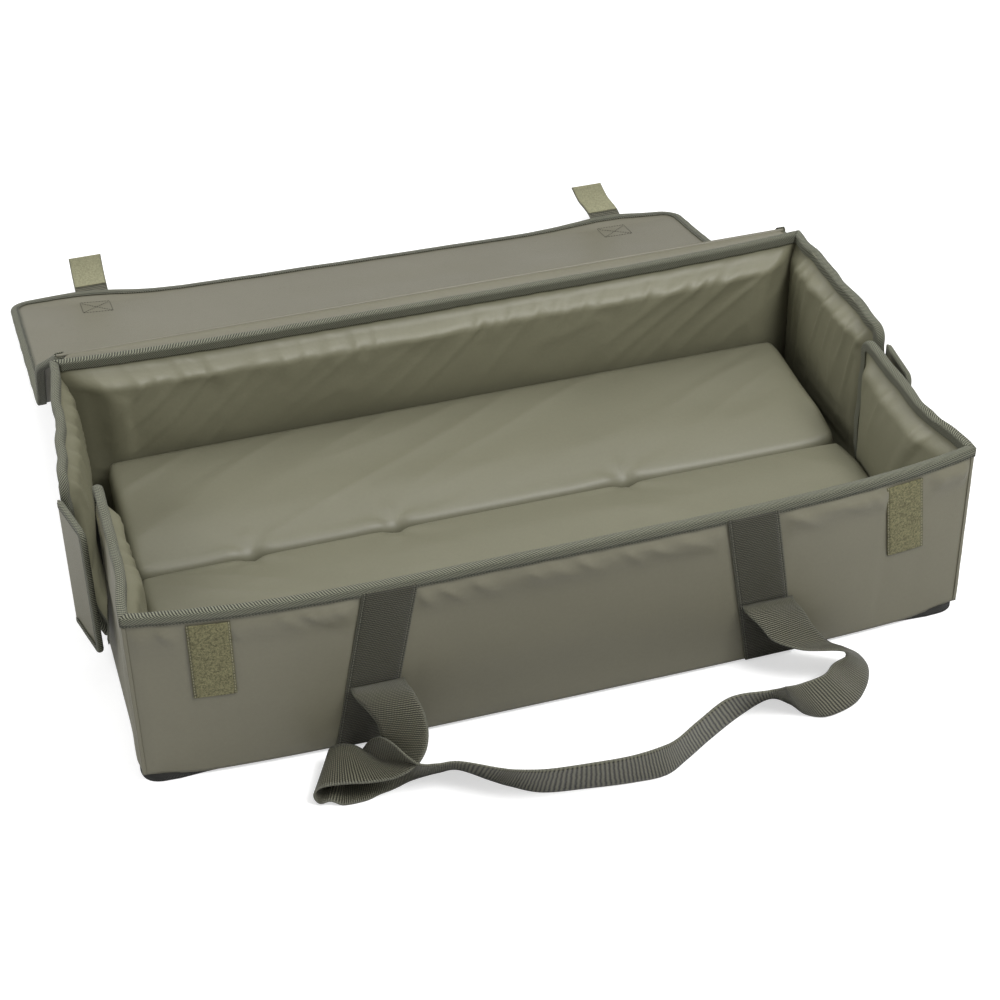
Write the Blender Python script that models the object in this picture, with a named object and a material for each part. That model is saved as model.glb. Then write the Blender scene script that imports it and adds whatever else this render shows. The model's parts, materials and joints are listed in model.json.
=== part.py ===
"""Walled unhooking mat: a padded tray of coated fabric, split across its middle so that it folds.

The tray is 0.80 m long (X), 0.42 m deep (Y) and 0.195 m high. Its frame has +Z up, +X to the
right and the origin on the floor under the middle of the base. Each end wall is two half walls
that part over the fold line, so the front half swings up and its half walls pass inside the
rear ones. The cover hangs from the rear wall and lies thrown back behind the tray.
"""

import math

import bmesh
import bpy
from mathutils import Vector

for item in list(bpy.data.objects):
    bpy.data.objects.remove(item, do_unlink=True)

# Tray
LENGTH = 0.800
DEPTH = 0.420
HEIGHT = 0.195
PAD_TOP = 0.072
GAP = 0.0004

# Walls: a stiff outer cover, then a padded lining
COVER = 0.0030
LONG_WALL = 0.022
END_WALL = 0.014
RIM = 0.0080
PINCH = 0.038
RIM_BOW = 0.026
FOOT_BOW = 0.012
REAR_BOW = 0.011
FLARE_LEFT = 0.021
FLARE_RIGHT = 0.007
RUN_CLEAR = 0.0008

# Binding tape on the rims
TAPE = 0.0016
TAPE_REACH = 0.0145
RIM_TURN = 0.018
SPLIT = 0.0016

# Base
BASE = 0.0040
BASE_LAP = 0.0060
BASE_TAPE = 0.0035
BASE_TAPE_TALL = 0.0110
BASE_CORNER = 0.020
PAD_LENGTH = 0.725
PAD_SIDE = 0.004
PAD_ROLL = 0.013
PAD_CROWN = 0.0035
PAD_CORNER = 0.030
TUFT_DEEP = 0.0045
TUFT_WIDE = 0.016
TUFT_SHARES = (-0.64, -0.25, 0.36)

# Webbing, handles and hook-and-loop
WEBBING = 0.050
WEBBING_THICK = 0.0022
WEBBING_AT = 0.172
HANDLE_Z = 0.067
LOOP_WIDE = 0.038
LOOP_TALL = 0.084
LOOP_THICK = 0.0014
LOOP_AT = 0.332
LOOP_FOOT = 0.085
CORNER_LEG = 0.009
CORNER_TAPE = 0.0012

# Closure flaps over the splits
FLAP_LONG = 0.062
FLAP_FOOT = 0.030
FLAP_HEAD = 0.176
FLAP_THICK = 0.0024
FLAP_TAPE_REACH = 0.007
FLAP_LEAN_LEFT = 13.0
FLAP_LEAN_RIGHT = 4.0
GRIP_TALL = 0.048
GRIP_WIDE = 0.030

# Cover (lid) with its two closing tabs
LID_WIDE = 0.824
LID_SHIFT = -0.003
LID_LONG = 0.460
LID_THICK = 0.0030
LID_TAPE_REACH = 0.0100
LID_CORNER = 0.024
LID_OUT = 0.0090
LID_FOLD_Y = 0.3435
LID_FOLD_Z = 0.060
LID_FAR_Z = 0.0042
HINGE_BEAD = 0.0020
TAB_AT = 0.317
TAB_LONG = 0.047
TAB_HOOK = 0.037
TAB_THICK = 0.0018
TAB_BEAD = 0.0016
TAB_RISE = 34.0
TAB_CURL = 34.0

# Grid lines of the walls
LONG_COLUMNS = 22
HALF_COLUMNS = 7

# Derived levels
KNEE = PAD_TOP * 0.9
CORNER_ROOM = LONG_WALL
WALL_FOOT = BASE_TAPE_TALL + GAP
WALL_HEAD = HEIGHT - TAPE - GAP
LID_Z = HEIGHT + LID_THICK / 2 + TAPE + GAP + RUN_CLEAR
LID_Y = DEPTH / 2 + LID_OUT
SWEPT = HEIGHT - PAD_TOP + 2 * RUN_CLEAR


def smooth(share):
    """Rises from 0 to 1 without a corner as share goes from 0 to 1."""
    share = min(1.0, max(0.0, share))
    return share * share * (3 - 2 * share)


def spread(low, high, steps, ends=0.0):
    """Steps + 1 values from low to high, drawn towards both ends by the share ends."""
    values = []
    for index in range(steps + 1):
        share = index / steps
        eased = (1 - math.cos(math.pi * share)) / 2
        values.append(low + (high - low) * (share * (1 - ends) + eased * ends))
    return values


# Materials


def make_material(name, colour, roughness):
    """A plain Principled BSDF for one kind of fabric."""
    material = bpy.data.materials.new(name)
    material.use_nodes = True
    shader = material.node_tree.nodes["Principled BSDF"]
    shader.inputs["Base Color"].default_value = (*colour, 1.0)
    shader.inputs["Roughness"].default_value = roughness
    shader.inputs["Metallic"].default_value = 0.0
    return material


COATED = make_material("coated_nylon_olive", (0.135, 0.130, 0.092), 0.50)
LINING = make_material("coated_lining_olive", (0.145, 0.142, 0.100), 0.42)
BINDING = make_material("binding_tape_grey_green", (0.085, 0.092, 0.068), 0.80)
STRAP = make_material("webbing_dark_green", (0.060, 0.062, 0.046), 0.65)
LOOP = make_material("loop_tape_tan_green", (0.250, 0.250, 0.140), 0.95)
BASE_CLOTH = make_material("base_cloth_black", (0.020, 0.021, 0.019), 0.60)


# Objects


def make_pivot(name, place, parent=None):
    """An empty on a joint's axis, which its moving pieces hang from."""
    empty = bpy.data.objects.new(name, None)
    empty.empty_display_size = 0.03
    bpy.context.scene.collection.objects.link(empty)
    held = Vector((0, 0, 0))
    if parent is not None:
        empty.parent = parent
        held = Vector(parent["at"])
    empty.location = Vector(place) - held
    empty["at"] = list(place)
    return empty


def add_piece(name, bm, material, pivot=None, at=None, flat=False):
    """Puts a shape made in world coordinates on its own origin, under its pivot."""
    origin = Vector(at) if at is not None else Vector(pivot["at"] if pivot else (0, 0, 0))
    bmesh.ops.translate(bm, verts=bm.verts, vec=-origin)
    bmesh.ops.recalc_face_normals(bm, faces=bm.faces)
    mesh = bpy.data.meshes.new(name)
    bm.to_mesh(mesh)
    bm.free()
    mesh.materials.append(material)
    if not flat:
        mesh.shade_smooth()
        mesh.set_sharp_from_angle(angle=math.radians(35))
    piece = bpy.data.objects.new(name, mesh)
    bpy.context.scene.collection.objects.link(piece)
    held = Vector((0, 0, 0))
    if pivot is not None:
        piece.parent = pivot
        held = Vector(pivot["at"])
    piece.location = origin - held
    return piece


def loft(rings, closed=False):
    """Skins rings of points in order, and caps both ends unless the rings run full circle."""
    bm = bmesh.new()
    rows = [[bm.verts.new(point) for point in ring] for ring in rings]
    count = len(rows[0])
    pairs = list(zip(rows, rows[1:]))
    if closed:
        pairs.append((rows[-1], rows[0]))
    for here, there in pairs:
        for index in range(count):
            after = (index + 1) % count
            bm.faces.new((here[index], here[after], there[after], there[index]))
    if not closed:
        bm.faces.new(rows[0])
        bm.faces.new(list(reversed(rows[-1])))
    return bm


def plate(outline, low, high):
    """An outline in the XY plane, extruded from low to high."""
    bm = bmesh.new()
    face = bm.faces.new([bm.verts.new((x, y, low)) for x, y in outline])
    made = bmesh.ops.extrude_face_region(bm, geom=[face])
    raised = [item for item in made["geom"] if isinstance(item, bmesh.types.BMVert)]
    bmesh.ops.translate(bm, verts=raised, vec=(0, 0, high - low))
    return bm


# Walls


def bulge(x):
    """How far a long wall bows, as a share: nothing at its corners, all of it by mid-span."""
    return 1 - min(1.0, abs(2 * x / LENGTH)) ** 4


def front_face(x, z):
    """Y of the front wall's outer face."""
    return -(DEPTH / 2 + bulge(x) * (FOOT_BOW + (RIM_BOW - FOOT_BOW) * z / HEIGHT))


def rear_face(x, z):
    """Y of the rear wall's outer face, which is drawn inwards at its rim."""
    return DEPTH / 2 - bulge(x) * REAR_BOW * (z / HEIGHT) ** 2


def flare_of(side):
    """How far the rear half wall leans out beside the split."""
    return FLARE_RIGHT if side > 0 else FLARE_LEFT


def inset_of(side):
    """How far the front half wall stands in, so that it clears the rear one as the tray folds."""
    lost = flare_of(side) * (1 - SWEPT / (DEPTH / 2))
    return END_WALL + TAPE + GAP + RUN_CLEAR - lost


def rear_end_face(side, y, z):
    """X of a rear half wall's outer face."""
    lean = flare_of(side) * (1 - y / (DEPTH / 2)) * min(1.0, z / KNEE)
    return side * (LENGTH / 2 + lean)


def front_end_face(side, y, z):
    """X of a front half wall's outer face."""
    reach = smooth((y + DEPTH / 2) / (DEPTH / 2 - SWEPT))
    lean = inset_of(side) * reach * min(1.0, z / KNEE)
    return side * (LENGTH / 2 - lean)


class LongWall:
    """The front or rear wall: along is X, and depth is measured inwards from the outer face."""

    def __init__(self, front):
        self.front = front

    def point(self, share, depth, z):
        half = LENGTH / 2 - depth - GAP * 0.75
        x = -half + 2 * half * share
        if self.front:
            return Vector((x, front_face(x, z) + depth, z))
        return Vector((x, rear_face(x, z) - depth, z))

    def thickness(self, share, z):
        x = abs(2 * share - 1) * LENGTH / 2
        body = END_WALL + (LONG_WALL - END_WALL) * smooth((LENGTH / 2 - x) / PINCH)
        head = smooth((HEIGHT - TAPE_REACH - TAPE - z) / PINCH)
        return RIM + (body - RIM) * head


class HalfEnd:
    """Half of an end wall: share 0 is at its corner and share 1 at the split."""

    def __init__(self, side, front):
        self.side = side
        self.front = front

    def corner_y(self, depth, z):
        """Y of the mitre with the long wall at this depth."""
        x = LENGTH / 2 - depth
        if self.front:
            return front_face(x, z) + depth + GAP * 0.75
        return rear_face(x, z) - depth - GAP * 0.75

    def at(self, y, depth, z):
        if self.front:
            x = front_end_face(self.side, y, z)
        else:
            x = rear_end_face(self.side, y, z)
        return Vector((x - self.side * depth, y, z))

    def head(self, y, edge):
        """Top of the wall at y, which turns down round the corner beside the split."""
        radius = RIM_TURN - edge
        into = RIM_TURN - (abs(y) - SPLIT)
        level = HEIGHT - RIM_TURN
        if into <= 0:
            return level + radius
        return level + math.sqrt(max(0.0, radius * radius - into * into))

    def thickness(self, y, z):
        head = smooth((HEIGHT - TAPE_REACH - TAPE - z) / PINCH)
        beside = smooth((abs(y) - SPLIT - RIM_TURN) / (PINCH * 0.8))
        return RIM + (END_WALL - RIM) * head * beside


def foot_levels():
    """Heights from a wall's foot to its knee."""
    return [WALL_FOOT + (KNEE - WALL_FOOT) * index / 3 for index in range(4)]


def wall_levels(head):
    """Heights shared by all layers of a wall, up to its head at this place."""
    knee = HEIGHT - TAPE_REACH - TAPE - PINCH
    thin = HEIGHT - TAPE_REACH - TAPE
    levels = foot_levels() + [(KNEE + knee) / 2, knee]
    levels += [knee + PINCH * share for share in (0.22, 0.40, 0.58, 0.78)] + [thin]
    squeeze = (head - KNEE) / (WALL_HEAD - KNEE)
    levels = [z if z <= KNEE else KNEE + (z - KNEE) * min(1.0, squeeze) for z in levels]
    return levels + [head]


def long_panel(wall, shallow, deep):
    """A layer of a long wall between two depths, each a function of share and level."""
    rings = []
    for share in spread(0, 1, LONG_COLUMNS, 0.55):
        outer = []
        inner = []
        for z in wall_levels(WALL_HEAD):
            outer.append(wall.point(share, shallow(share, z), z))
            inner.append(wall.point(share, deep(share, z), z))
        rings.append(outer + inner[::-1])
    return loft(rings)


def half_lines(edge):
    """Distances from the fold line of a half wall's upright grid lines, after its corner."""
    first = DEPTH / 2 - CORNER_ROOM
    last = SPLIT + RIM_TURN
    lines = [first + (last - first) * index / HALF_COLUMNS for index in range(HALF_COLUMNS)]
    for angle in (0, 24, 46, 66, 90):
        lines.append(last - (RIM_TURN - edge) * math.sin(math.radians(angle)))
    return lines


def half_panel(wall, shallow, deep):
    """A layer of a half end wall, whose head is rounded beside the split."""
    edge = TAPE + GAP
    sign = -1 if wall.front else 1
    rings = []
    for line in [None] + half_lines(edge):
        outer = []
        inner = []
        head = WALL_HEAD if line is None else wall.head(line, edge)
        for z in wall_levels(head):
            for depth_of, points in ((shallow, outer), (deep, inner)):
                if line is None:
                    depth = depth_of(sign * DEPTH / 2, z)
                    points.append(wall.at(wall.corner_y(depth, z), depth, z))
                else:
                    depth = depth_of(sign * line, z)
                    points.append(wall.at(sign * line, depth, z))
        rings.append(outer + inner[::-1])
    return loft(rings)


def tape_section():
    """The folded tape round an edge: depth from the outer face, and reach in from the edge."""
    out = -GAP - TAPE
    far = RIM + GAP + TAPE
    return (
        (out, TAPE_REACH),
        (out, 0.0),
        (far, 0.0),
        (far, TAPE_REACH),
        (far - TAPE, TAPE_REACH),
        (far - TAPE, TAPE),
        (out + TAPE, TAPE),
        (out + TAPE, TAPE_REACH),
    )


def long_tape(wall):
    """Binding along the rim of a long wall, mitred at both corners."""
    rings = []
    for share in spread(0, 1, LONG_COLUMNS, 0.55):
        rings.append(
            [wall.point(share, depth, HEIGHT - reach) for depth, reach in tape_section()]
        )
    return loft(rings)


def half_tape(wall):
    """Binding along a half wall's rim, round its corner and down the edge of the split."""
    rings = []
    sign = -1 if wall.front else 1
    section = tape_section()
    rings.append([wall.at(wall.corner_y(d, HEIGHT - r), d, HEIGHT - r) for d, r in section])
    for line in half_lines(0)[: HALF_COLUMNS + 1]:
        rings.append([wall.at(sign * line, depth, HEIGHT - reach) for depth, reach in section])
    for angle in (18, 36, 54, 72, 90):
        ring = []
        for depth, reach in section:
            radius = RIM_TURN - reach
            into = radius * math.sin(math.radians(angle))
            z = HEIGHT - RIM_TURN + radius * math.cos(math.radians(angle))
            ring.append(wall.at(sign * (SPLIT + RIM_TURN - into), depth, z))
        rings.append(ring)
    for z in [HEIGHT * 0.68, HEIGHT * 0.50] + foot_levels()[::-1]:
        rings.append([wall.at(sign * (SPLIT + reach), depth, z) for depth, reach in section])
    return loft(rings)


FRONT_WALL = LongWall(True)
REAR_WALL = LongWall(False)
HALF_ENDS = {
    "front_left": HalfEnd(-1, True),
    "front_right": HalfEnd(1, True),
    "rear_left": HalfEnd(-1, False),
    "rear_right": HalfEnd(1, False),
}

front_half = make_pivot("front_half_pivot", (0, 0, PAD_TOP))


def build_walls():
    """Each wall is a cover, a padded lining inside it and a binding tape over their rims."""
    for name, wall, pivot in (("front", FRONT_WALL, front_half), ("rear", REAR_WALL, None)):
        cover = long_panel(wall, lambda s, z: 0.0, lambda s, z: COVER)
        add_piece("wall_cover_" + name, cover, COATED, pivot)
        lining = long_panel(wall, lambda s, z: COVER + 1.5 * GAP, wall.thickness)
        add_piece("wall_lining_" + name, lining, LINING, pivot)
        add_piece("rim_tape_" + name, long_tape(wall), BINDING, pivot)
    for name, wall in HALF_ENDS.items():
        pivot = front_half if wall.front else None
        cover = half_panel(wall, lambda y, z: 0.0, lambda y, z: COVER)
        add_piece("end_cover_" + name, cover, COATED, pivot)
        lining = half_panel(wall, lambda y, z: COVER + 1.5 * GAP, wall.thickness)
        add_piece("end_lining_" + name, lining, LINING, pivot)
        add_piece("end_tape_" + name, half_tape(wall), BINDING, pivot)


def build_corner_tapes():
    """A narrow tape covers each upright corner seam where a long wall meets a half wall."""
    for name, wall in HALF_ENDS.items():
        rings = []
        out = -GAP - CORNER_TAPE
        for z in spread(WALL_FOOT + GAP, HEIGHT - TAPE_REACH - 2 * GAP, 5):
            face = front_face if wall.front else rear_face
            inward = 1 if wall.front else -1
            ring = []
            leg = wall.side * (LENGTH / 2 - CORNER_LEG)
            corner = wall.side * (LENGTH / 2 - out)
            seam = wall.side * (LENGTH / 2 + GAP)
            y_out = -inward * (DEPTH / 2 - out)
            y_seam = -inward * (DEPTH / 2 + GAP)
            y_leg = -inward * (DEPTH / 2 - CORNER_LEG)
            ring.append(Vector((leg, face(leg, z) + inward * out, z)))
            ring.append(Vector((corner, y_out, z)))
            ring.append(wall.at(y_leg, out, z))
            ring.append(wall.at(y_leg, -GAP, z))
            ring.append(Vector((seam, y_seam, z)))
            ring.append(Vector((leg, face(leg, z) - inward * GAP, z)))
            rings.append(ring)
        pivot = front_half if wall.front else None
        add_piece("corner_tape_" + name, loft(rings), BINDING, pivot)


# Base and pads


def base_outline(front, inset):
    """Half of the base's outline, from the right end of the fold round to the left end."""
    sign = -1 if front else 1
    radius = BASE_CORNER - inset
    half = LENGTH / 2 - inset
    points = []
    turn = (0, 18, 36, 54, 72, 90)
    centre = (LENGTH / 2 - BASE_CORNER, DEPTH / 2 - BASE_CORNER)
    for angle in turn:
        arc = math.radians(angle)
        points.append((centre[0] + radius * math.cos(arc), centre[1] + radius * math.sin(arc)))
    span = 2 * centre[0]
    for index in range(1, 16):
        points.append((centre[0] - span * index / 16, DEPTH / 2 - inset))
    for angle in reversed(turn):
        arc = math.radians(angle)
        points.append((-centre[0] - radius * math.cos(arc), centre[1] + radius * math.sin(arc)))
    start = BASE_LAP + GAP if front else -BASE_LAP
    points = [(half, start)] + points + [(-half, start)]
    bent = []
    for x, y in points:
        bow = FOOT_BOW * bulge(x) * smooth((y - DEPTH / 4) / (DEPTH / 4)) if front else 0.0
        bent.append((x, sign * (y + bow)))
    return bent


def build_base():
    """The floor of each half: a fabric sheet over a board, with a tape round its outer edge."""
    for name, front, pivot in (("front", True, front_half), ("rear", False, None)):
        sheet = plate(base_outline(front, BASE_TAPE + GAP), 0.0, BASE)
        add_piece("base_sheet_" + name, sheet, BASE_CLOTH, pivot, flat=True)
        outer = base_outline(front, -GAP)
        inner = base_outline(front, BASE_TAPE)
        rings = []
        for (xo, yo), (xi, yi) in zip(outer, inner):
            rings.append(
                [
                    Vector((xo, yo, 0)),
                    Vector((xo, yo, BASE_TAPE_TALL)),
                    Vector((xi, yi, BASE_TAPE_TALL)),
                    Vector((xi, yi, 0)),
                ]
            )
        add_piece("base_tape_" + name, loft(rings), BASE_CLOTH, pivot, flat=True)


def pad_grid(count, reach):
    """Grid lines across half a pad's width, as distances from its edge, fine over the roll."""
    lines = [0.0, PAD_ROLL * 0.12, PAD_ROLL * 0.42, PAD_ROLL]
    step = (reach - PAD_ROLL) / count
    return lines + [PAD_ROLL + step * (index + 1) for index in range(count)]


def build_pad(name, near, far, pivot):
    """A cushion with a rolled top edge, a low crown and pinches sewn along the fold line."""
    sign = 1 if far > near else -1
    half_x = PAD_LENGTH / 2
    half_y = abs(far - near) / 2
    middle = (near + far) / 2
    across = pad_grid(3, half_y)
    along = pad_grid(9, half_x)
    xs = [-half_x + line for line in along] + [half_x - line for line in along[-2::-1]]
    ys = [-half_y + line for line in across] + [half_y - line for line in across[-2::-1]]
    low = BASE + GAP

    def roll(distance):
        """How far the top drops at this distance from the edge."""
        if distance >= PAD_ROLL:
            return 0.0
        turn = 1 - distance / PAD_ROLL
        return PAD_ROLL * (1 - math.sqrt(1 - turn * turn * 0.96))

    def spot(x, y, sink):
        """A grid point drawn in at the pad's corners and pinches, on the top or the bottom."""
        u = x / half_x
        v = y / half_y
        draw = PAD_CORNER * 0.3 * (abs(v) ** 9) * smooth((abs(x) - half_x) / PAD_CORNER + 1)
        draw_y = PAD_CORNER * 0.3 * (abs(u) ** 30) * smooth((abs(y) - half_y) / PAD_CORNER + 1)
        pinch = 0.0
        for share in TUFT_SHARES:
            away = (x - share * half_x) / TUFT_WIDE
            pinch = max(pinch, math.exp(-away * away))
        fold_side = smooth(1 - (half_y + y) / (PAD_ROLL * 2.4))
        drop = roll(min(half_x - abs(x), half_y - abs(y))) + TUFT_DEEP * pinch * fold_side
        crown = PAD_CROWN * (1 - u * u) * (1 - v * v)
        z = PAD_TOP - drop + crown if sink is None else sink
        bent = y - math.copysign(draw_y, y) + TUFT_DEEP * 0.35 * pinch * fold_side
        return Vector((x - math.copysign(draw, x), middle + sign * bent, z))

    bm = bmesh.new()
    top = [[bm.verts.new(spot(x, y, None)) for x in xs] for y in ys]
    columns = len(xs)
    rows = len(ys)
    for j in range(rows - 1):
        for i in range(columns - 1):
            bm.faces.new((top[j][i], top[j][i + 1], top[j + 1][i + 1], top[j + 1][i]))
    rim = [(0, i) for i in range(columns)] + [(j, columns - 1) for j in range(1, rows)]
    rim += [(rows - 1, i) for i in range(columns - 2, -1, -1)]
    rim += [(j, 0) for j in range(rows - 2, 0, -1)]
    loop = [top[j][i] for j, i in rim]
    for level, tuck in ((0.45, -0.0012), (0.16, 0.0), (0.0, 0.006)):
        ring = []
        for j, i in rim:
            place = spot(xs[i], ys[j], low + (PAD_TOP - low) * level)
            inward = Vector((-place.x, middle - place.y, 0)).normalized()
            ring.append(bm.verts.new(place + inward * max(tuck, 0.0)))
        for index in range(len(loop)):
            after = (index + 1) % len(loop)
            bm.faces.new((loop[index], loop[after], ring[after], ring[index]))
        loop = ring
    bm.faces.new(loop)
    add_piece(name, bm, LINING, pivot)


def build_fold_tape():
    """A thin strip stands between the two pads and joins the halves along the fold line."""
    half = PAD_LENGTH / 2 - PAD_CORNER
    thick = RUN_CLEAR - GAP
    corners = ((-half, -thick), (half, -thick), (half, thick), (-half, thick))
    add_piece("fold_tape", plate(corners, BASE + GAP, PAD_TOP - PAD_ROLL), BINDING, None, flat=True)


def build_pads():
    """The two thick pads of the floor meet over the fold line."""
    rear_room = rear_face(0, PAD_TOP) - LONG_WALL - PAD_SIDE
    front_room = front_face(0, WALL_FOOT) + LONG_WALL + PAD_SIDE * 2
    build_pad("pad_rear", RUN_CLEAR, rear_room, None)
    build_pad("pad_front", -RUN_CLEAR, front_room, front_half)


# Webbing, loop patches and handles


def on_wall(wall, x_low, x_high, z_low, z_high, thick, columns, rows):
    """A flat strip sewn on the outer face of a long wall."""
    rings = []
    for x in spread(x_low, x_high, columns):
        outer = []
        inner = []
        for z in spread(z_low, z_high, rows):
            if wall.front:
                outer.append(Vector((x, front_face(x, z) - GAP - thick, z)))
                inner.append(Vector((x, front_face(x, z) - GAP, z)))
            else:
                outer.append(Vector((x, rear_face(x, z) + GAP + thick, z)))
                inner.append(Vector((x, rear_face(x, z) + GAP, z)))
        rings.append(outer + inner[::-1])
    return loft(rings)


def build_webbings():
    """Two upright webbings on each long wall carry the handles; loop patches hold the tabs."""
    head = HEIGHT - TAPE_REACH - GAP
    for name, wall, pivot in (("front", FRONT_WALL, front_half), ("rear", REAR_WALL, None)):
        for side, sign in (("left", -1), ("right", 1)):
            low = sign * WEBBING_AT - WEBBING / 2
            strip = on_wall(wall, low, low + WEBBING, WALL_FOOT, head, WEBBING_THICK, 4, 6)
            add_piece("webbing_" + name + "_" + side, strip, STRAP, pivot)
    for side, sign in (("left", -1), ("right", 1)):
        low = sign * LOOP_AT - LOOP_WIDE / 2
        patch = on_wall(
            FRONT_WALL, low, low + LOOP_WIDE, LOOP_FOOT, LOOP_FOOT + LOOP_TALL, LOOP_THICK, 4, 4
        )
        add_piece("loop_patch_" + side, patch, LOOP, front_half)


def curve_through(rows, share):
    """A smooth value at share along a list of rows, by Catmull-Rom through all of them."""
    place = share * (len(rows) - 1)
    index = min(int(place), len(rows) - 2)
    t = place - index
    before = rows[max(index - 1, 0)]
    here = rows[index]
    there = rows[index + 1]
    after = rows[min(index + 2, len(rows) - 1)]
    values = []
    for a, b, c, d in zip(before, here, there, after):
        values.append(
            0.5 * (2 * b + (c - a) * t + (2 * a - 5 * b + 4 * c - d) * t * t + (3 * b - a - 3 * c + d) * t ** 3)
        )
    return values


def strap_ring(centres, widths, end, beyond, half):
    """A section at a strap's end, where it is folded round the line that it turns on."""
    near = 1 if end == 0 else end - 1
    leaves = math.copysign(1, centres[near].y - centres[end].y)
    ahead = Vector((0, leaves if end == 0 else -leaves, 0))
    across = widths[end].normalized()
    face = ahead.cross(across)
    centre = centres[end] + ahead * beyond
    ring = []
    for a, b in ((-1, -1), (1, -1), (1, 1), (-1, 1)):
        ring.append(centre + across * (a * WEBBING / 2) + face * (b * half))
    return ring


def strap_along(route, steps):
    """A webbing strap swept along a route of centre points and the directions of its width.

    Each row holds x, y and z, the strap's width direction, and how far the row is laid on the
    floor: 1 puts the strap's lower edge on the floor, and 0 keeps the row's own height.
    """
    centres = []
    widths = []
    for index in range(steps + 1):
        row = curve_through(route, index / steps)
        across = Vector(row[3:6]).normalized()
        lay = smooth(row[6])
        floor = abs(across.z) * WEBBING / 2 + WEBBING_THICK * 0.55
        centres.append(Vector((row[0], row[1], row[2] * (1 - lay) + floor * lay)))
        widths.append(across)
    rings = []
    thick = WEBBING_THICK
    for end, beyond, swell in ((0, -0.72, 0.30), (0, 0.0, 0.80)):
        rings.append(strap_ring(centres, widths, end, beyond * thick, swell * thick))
    for index, (centre, across) in enumerate(zip(centres, widths)):
        if index < 2 or index > steps - 2:
            continue
        ahead = centres[min(index + 1, steps)] - centres[max(index - 1, 0)]
        ahead.normalize()
        across = (across - ahead * across.dot(ahead)).normalized()
        face = ahead.cross(across)
        lift = max(0.0, WEBBING_THICK * 0.1 - min(
            (centre + across * (a * WEBBING / 2) + face * (b * WEBBING_THICK / 2)).z
            for a in (-1, 1) for b in (-1, 1)
        ))
        centre = centre + Vector((0, 0, lift))
        ring = []
        for a, b in ((-1, -1), (1, -1), (1, 1), (-1, 1)):
            ring.append(centre + across * (a * WEBBING / 2) + face * (b * WEBBING_THICK / 2))
        rings.append(ring)
    for end, beyond, swell in ((steps, 0.0, 0.80), (steps, 0.72, 0.30)):
        rings.append(strap_ring(centres, widths, end, beyond * thick, swell * thick))
    return loft(rings)


# The front handle lies on the floor: it leaves the left webbing in an arch, turns back on its
# edge, crosses in front of the tray, rolls over and comes back round in an open loop. X and Y
# are shares of the tray's length, Y counted outwards from the wall's face at the webbing, and
# Z is a share of the height at which the strap leaves the wall.
FRONT_ROUTE_SHARES = (
    (-0.2150, 0.0030, 1.00, 1.0, 0.0, 0.0, 0.0),
    (-0.2150, 0.0160, 0.98, 1.0, 0.0, -0.05, 0.0),
    (-0.2120, 0.0330, 0.78, 1.0, -0.1, -0.1, 0.0),
    (-0.2090, 0.0430, 0.46, 1.0, -0.35, -0.1, 0.0),
    (-0.2140, 0.0500, 0.24, 0.8, -0.9, 0.15, 0.3),
    (-0.2420, 0.0520, 0.18, 0.2, -0.9, 0.45, 1.0),
    (-0.2760, 0.0530, 0.20, -0.1, -0.7, 0.70, 1.0),
    (-0.3050, 0.0560, 0.30, -0.2, -0.3, 0.95, 1.0),
    (-0.3230, 0.0720, 0.35, 0.0, -0.1, 1.0, 1.0),
    (-0.3060, 0.0880, 0.35, 0.0, -0.30, 0.95, 1.0),
    (-0.2500, 0.0880, 0.35, 0.0, -0.55, 0.84, 1.0),
    (-0.2000, 0.0780, 0.35, 0.0, -0.75, 0.66, 1.0),
    (-0.1500, 0.0820, 0.35, 0.0, -0.75, 0.66, 1.0),
    (-0.1050, 0.1150, 0.35, 0.2, -0.60, 0.80, 1.0),
    (-0.0600, 0.1350, 0.35, 0.1, -0.45, 0.88, 1.0),
    (0.0000, 0.1450, 0.35, 0.0, -0.45, 0.88, 1.0),
    (0.0600, 0.1430, 0.35, 0.0, -0.48, 0.86, 1.0),
    (0.1050, 0.1280, 0.35, 0.25, -0.75, 0.60, 1.0),
    (0.1400, 0.1000, 0.30, 0.60, -0.80, 0.10, 1.0),
    (0.1800, 0.0700, 0.25, 0.60, -0.78, -0.10, 1.0),
    (0.2150, 0.0560, 0.30, 0.25, -0.85, -0.45, 1.0),
    (0.2480, 0.0680, 0.35, -0.1, -0.45, -0.88, 1.0),
    (0.2850, 0.0860, 0.35, 0.1, -0.40, -0.90, 1.0),
    (0.3250, 0.0850, 0.35, 0.40, -0.35, -0.85, 1.0),
    (0.3520, 0.0620, 0.35, 0.60, 0.0, -0.80, 1.0),
    (0.3440, 0.0480, 0.38, 0.15, 0.10, -0.98, 0.9),
    (0.2940, 0.0450, 0.48, 0.25, 0.10, -0.96, 0.4),
    (0.2560, 0.0430, 0.67, 0.50, 0.40, -0.77, 0.0),
    (0.2300, 0.0350, 0.84, 0.70, 0.55, -0.45, 0.0),
    (0.2180, 0.0230, 0.95, 0.90, 0.35, -0.20, 0.0),
    (0.2150, 0.0120, 0.99, 1.0, 0.0, -0.05, 0.0),
    (0.2150, 0.0030, 1.00, 1.0, 0.0, 0.0, 0.0),
)

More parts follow.
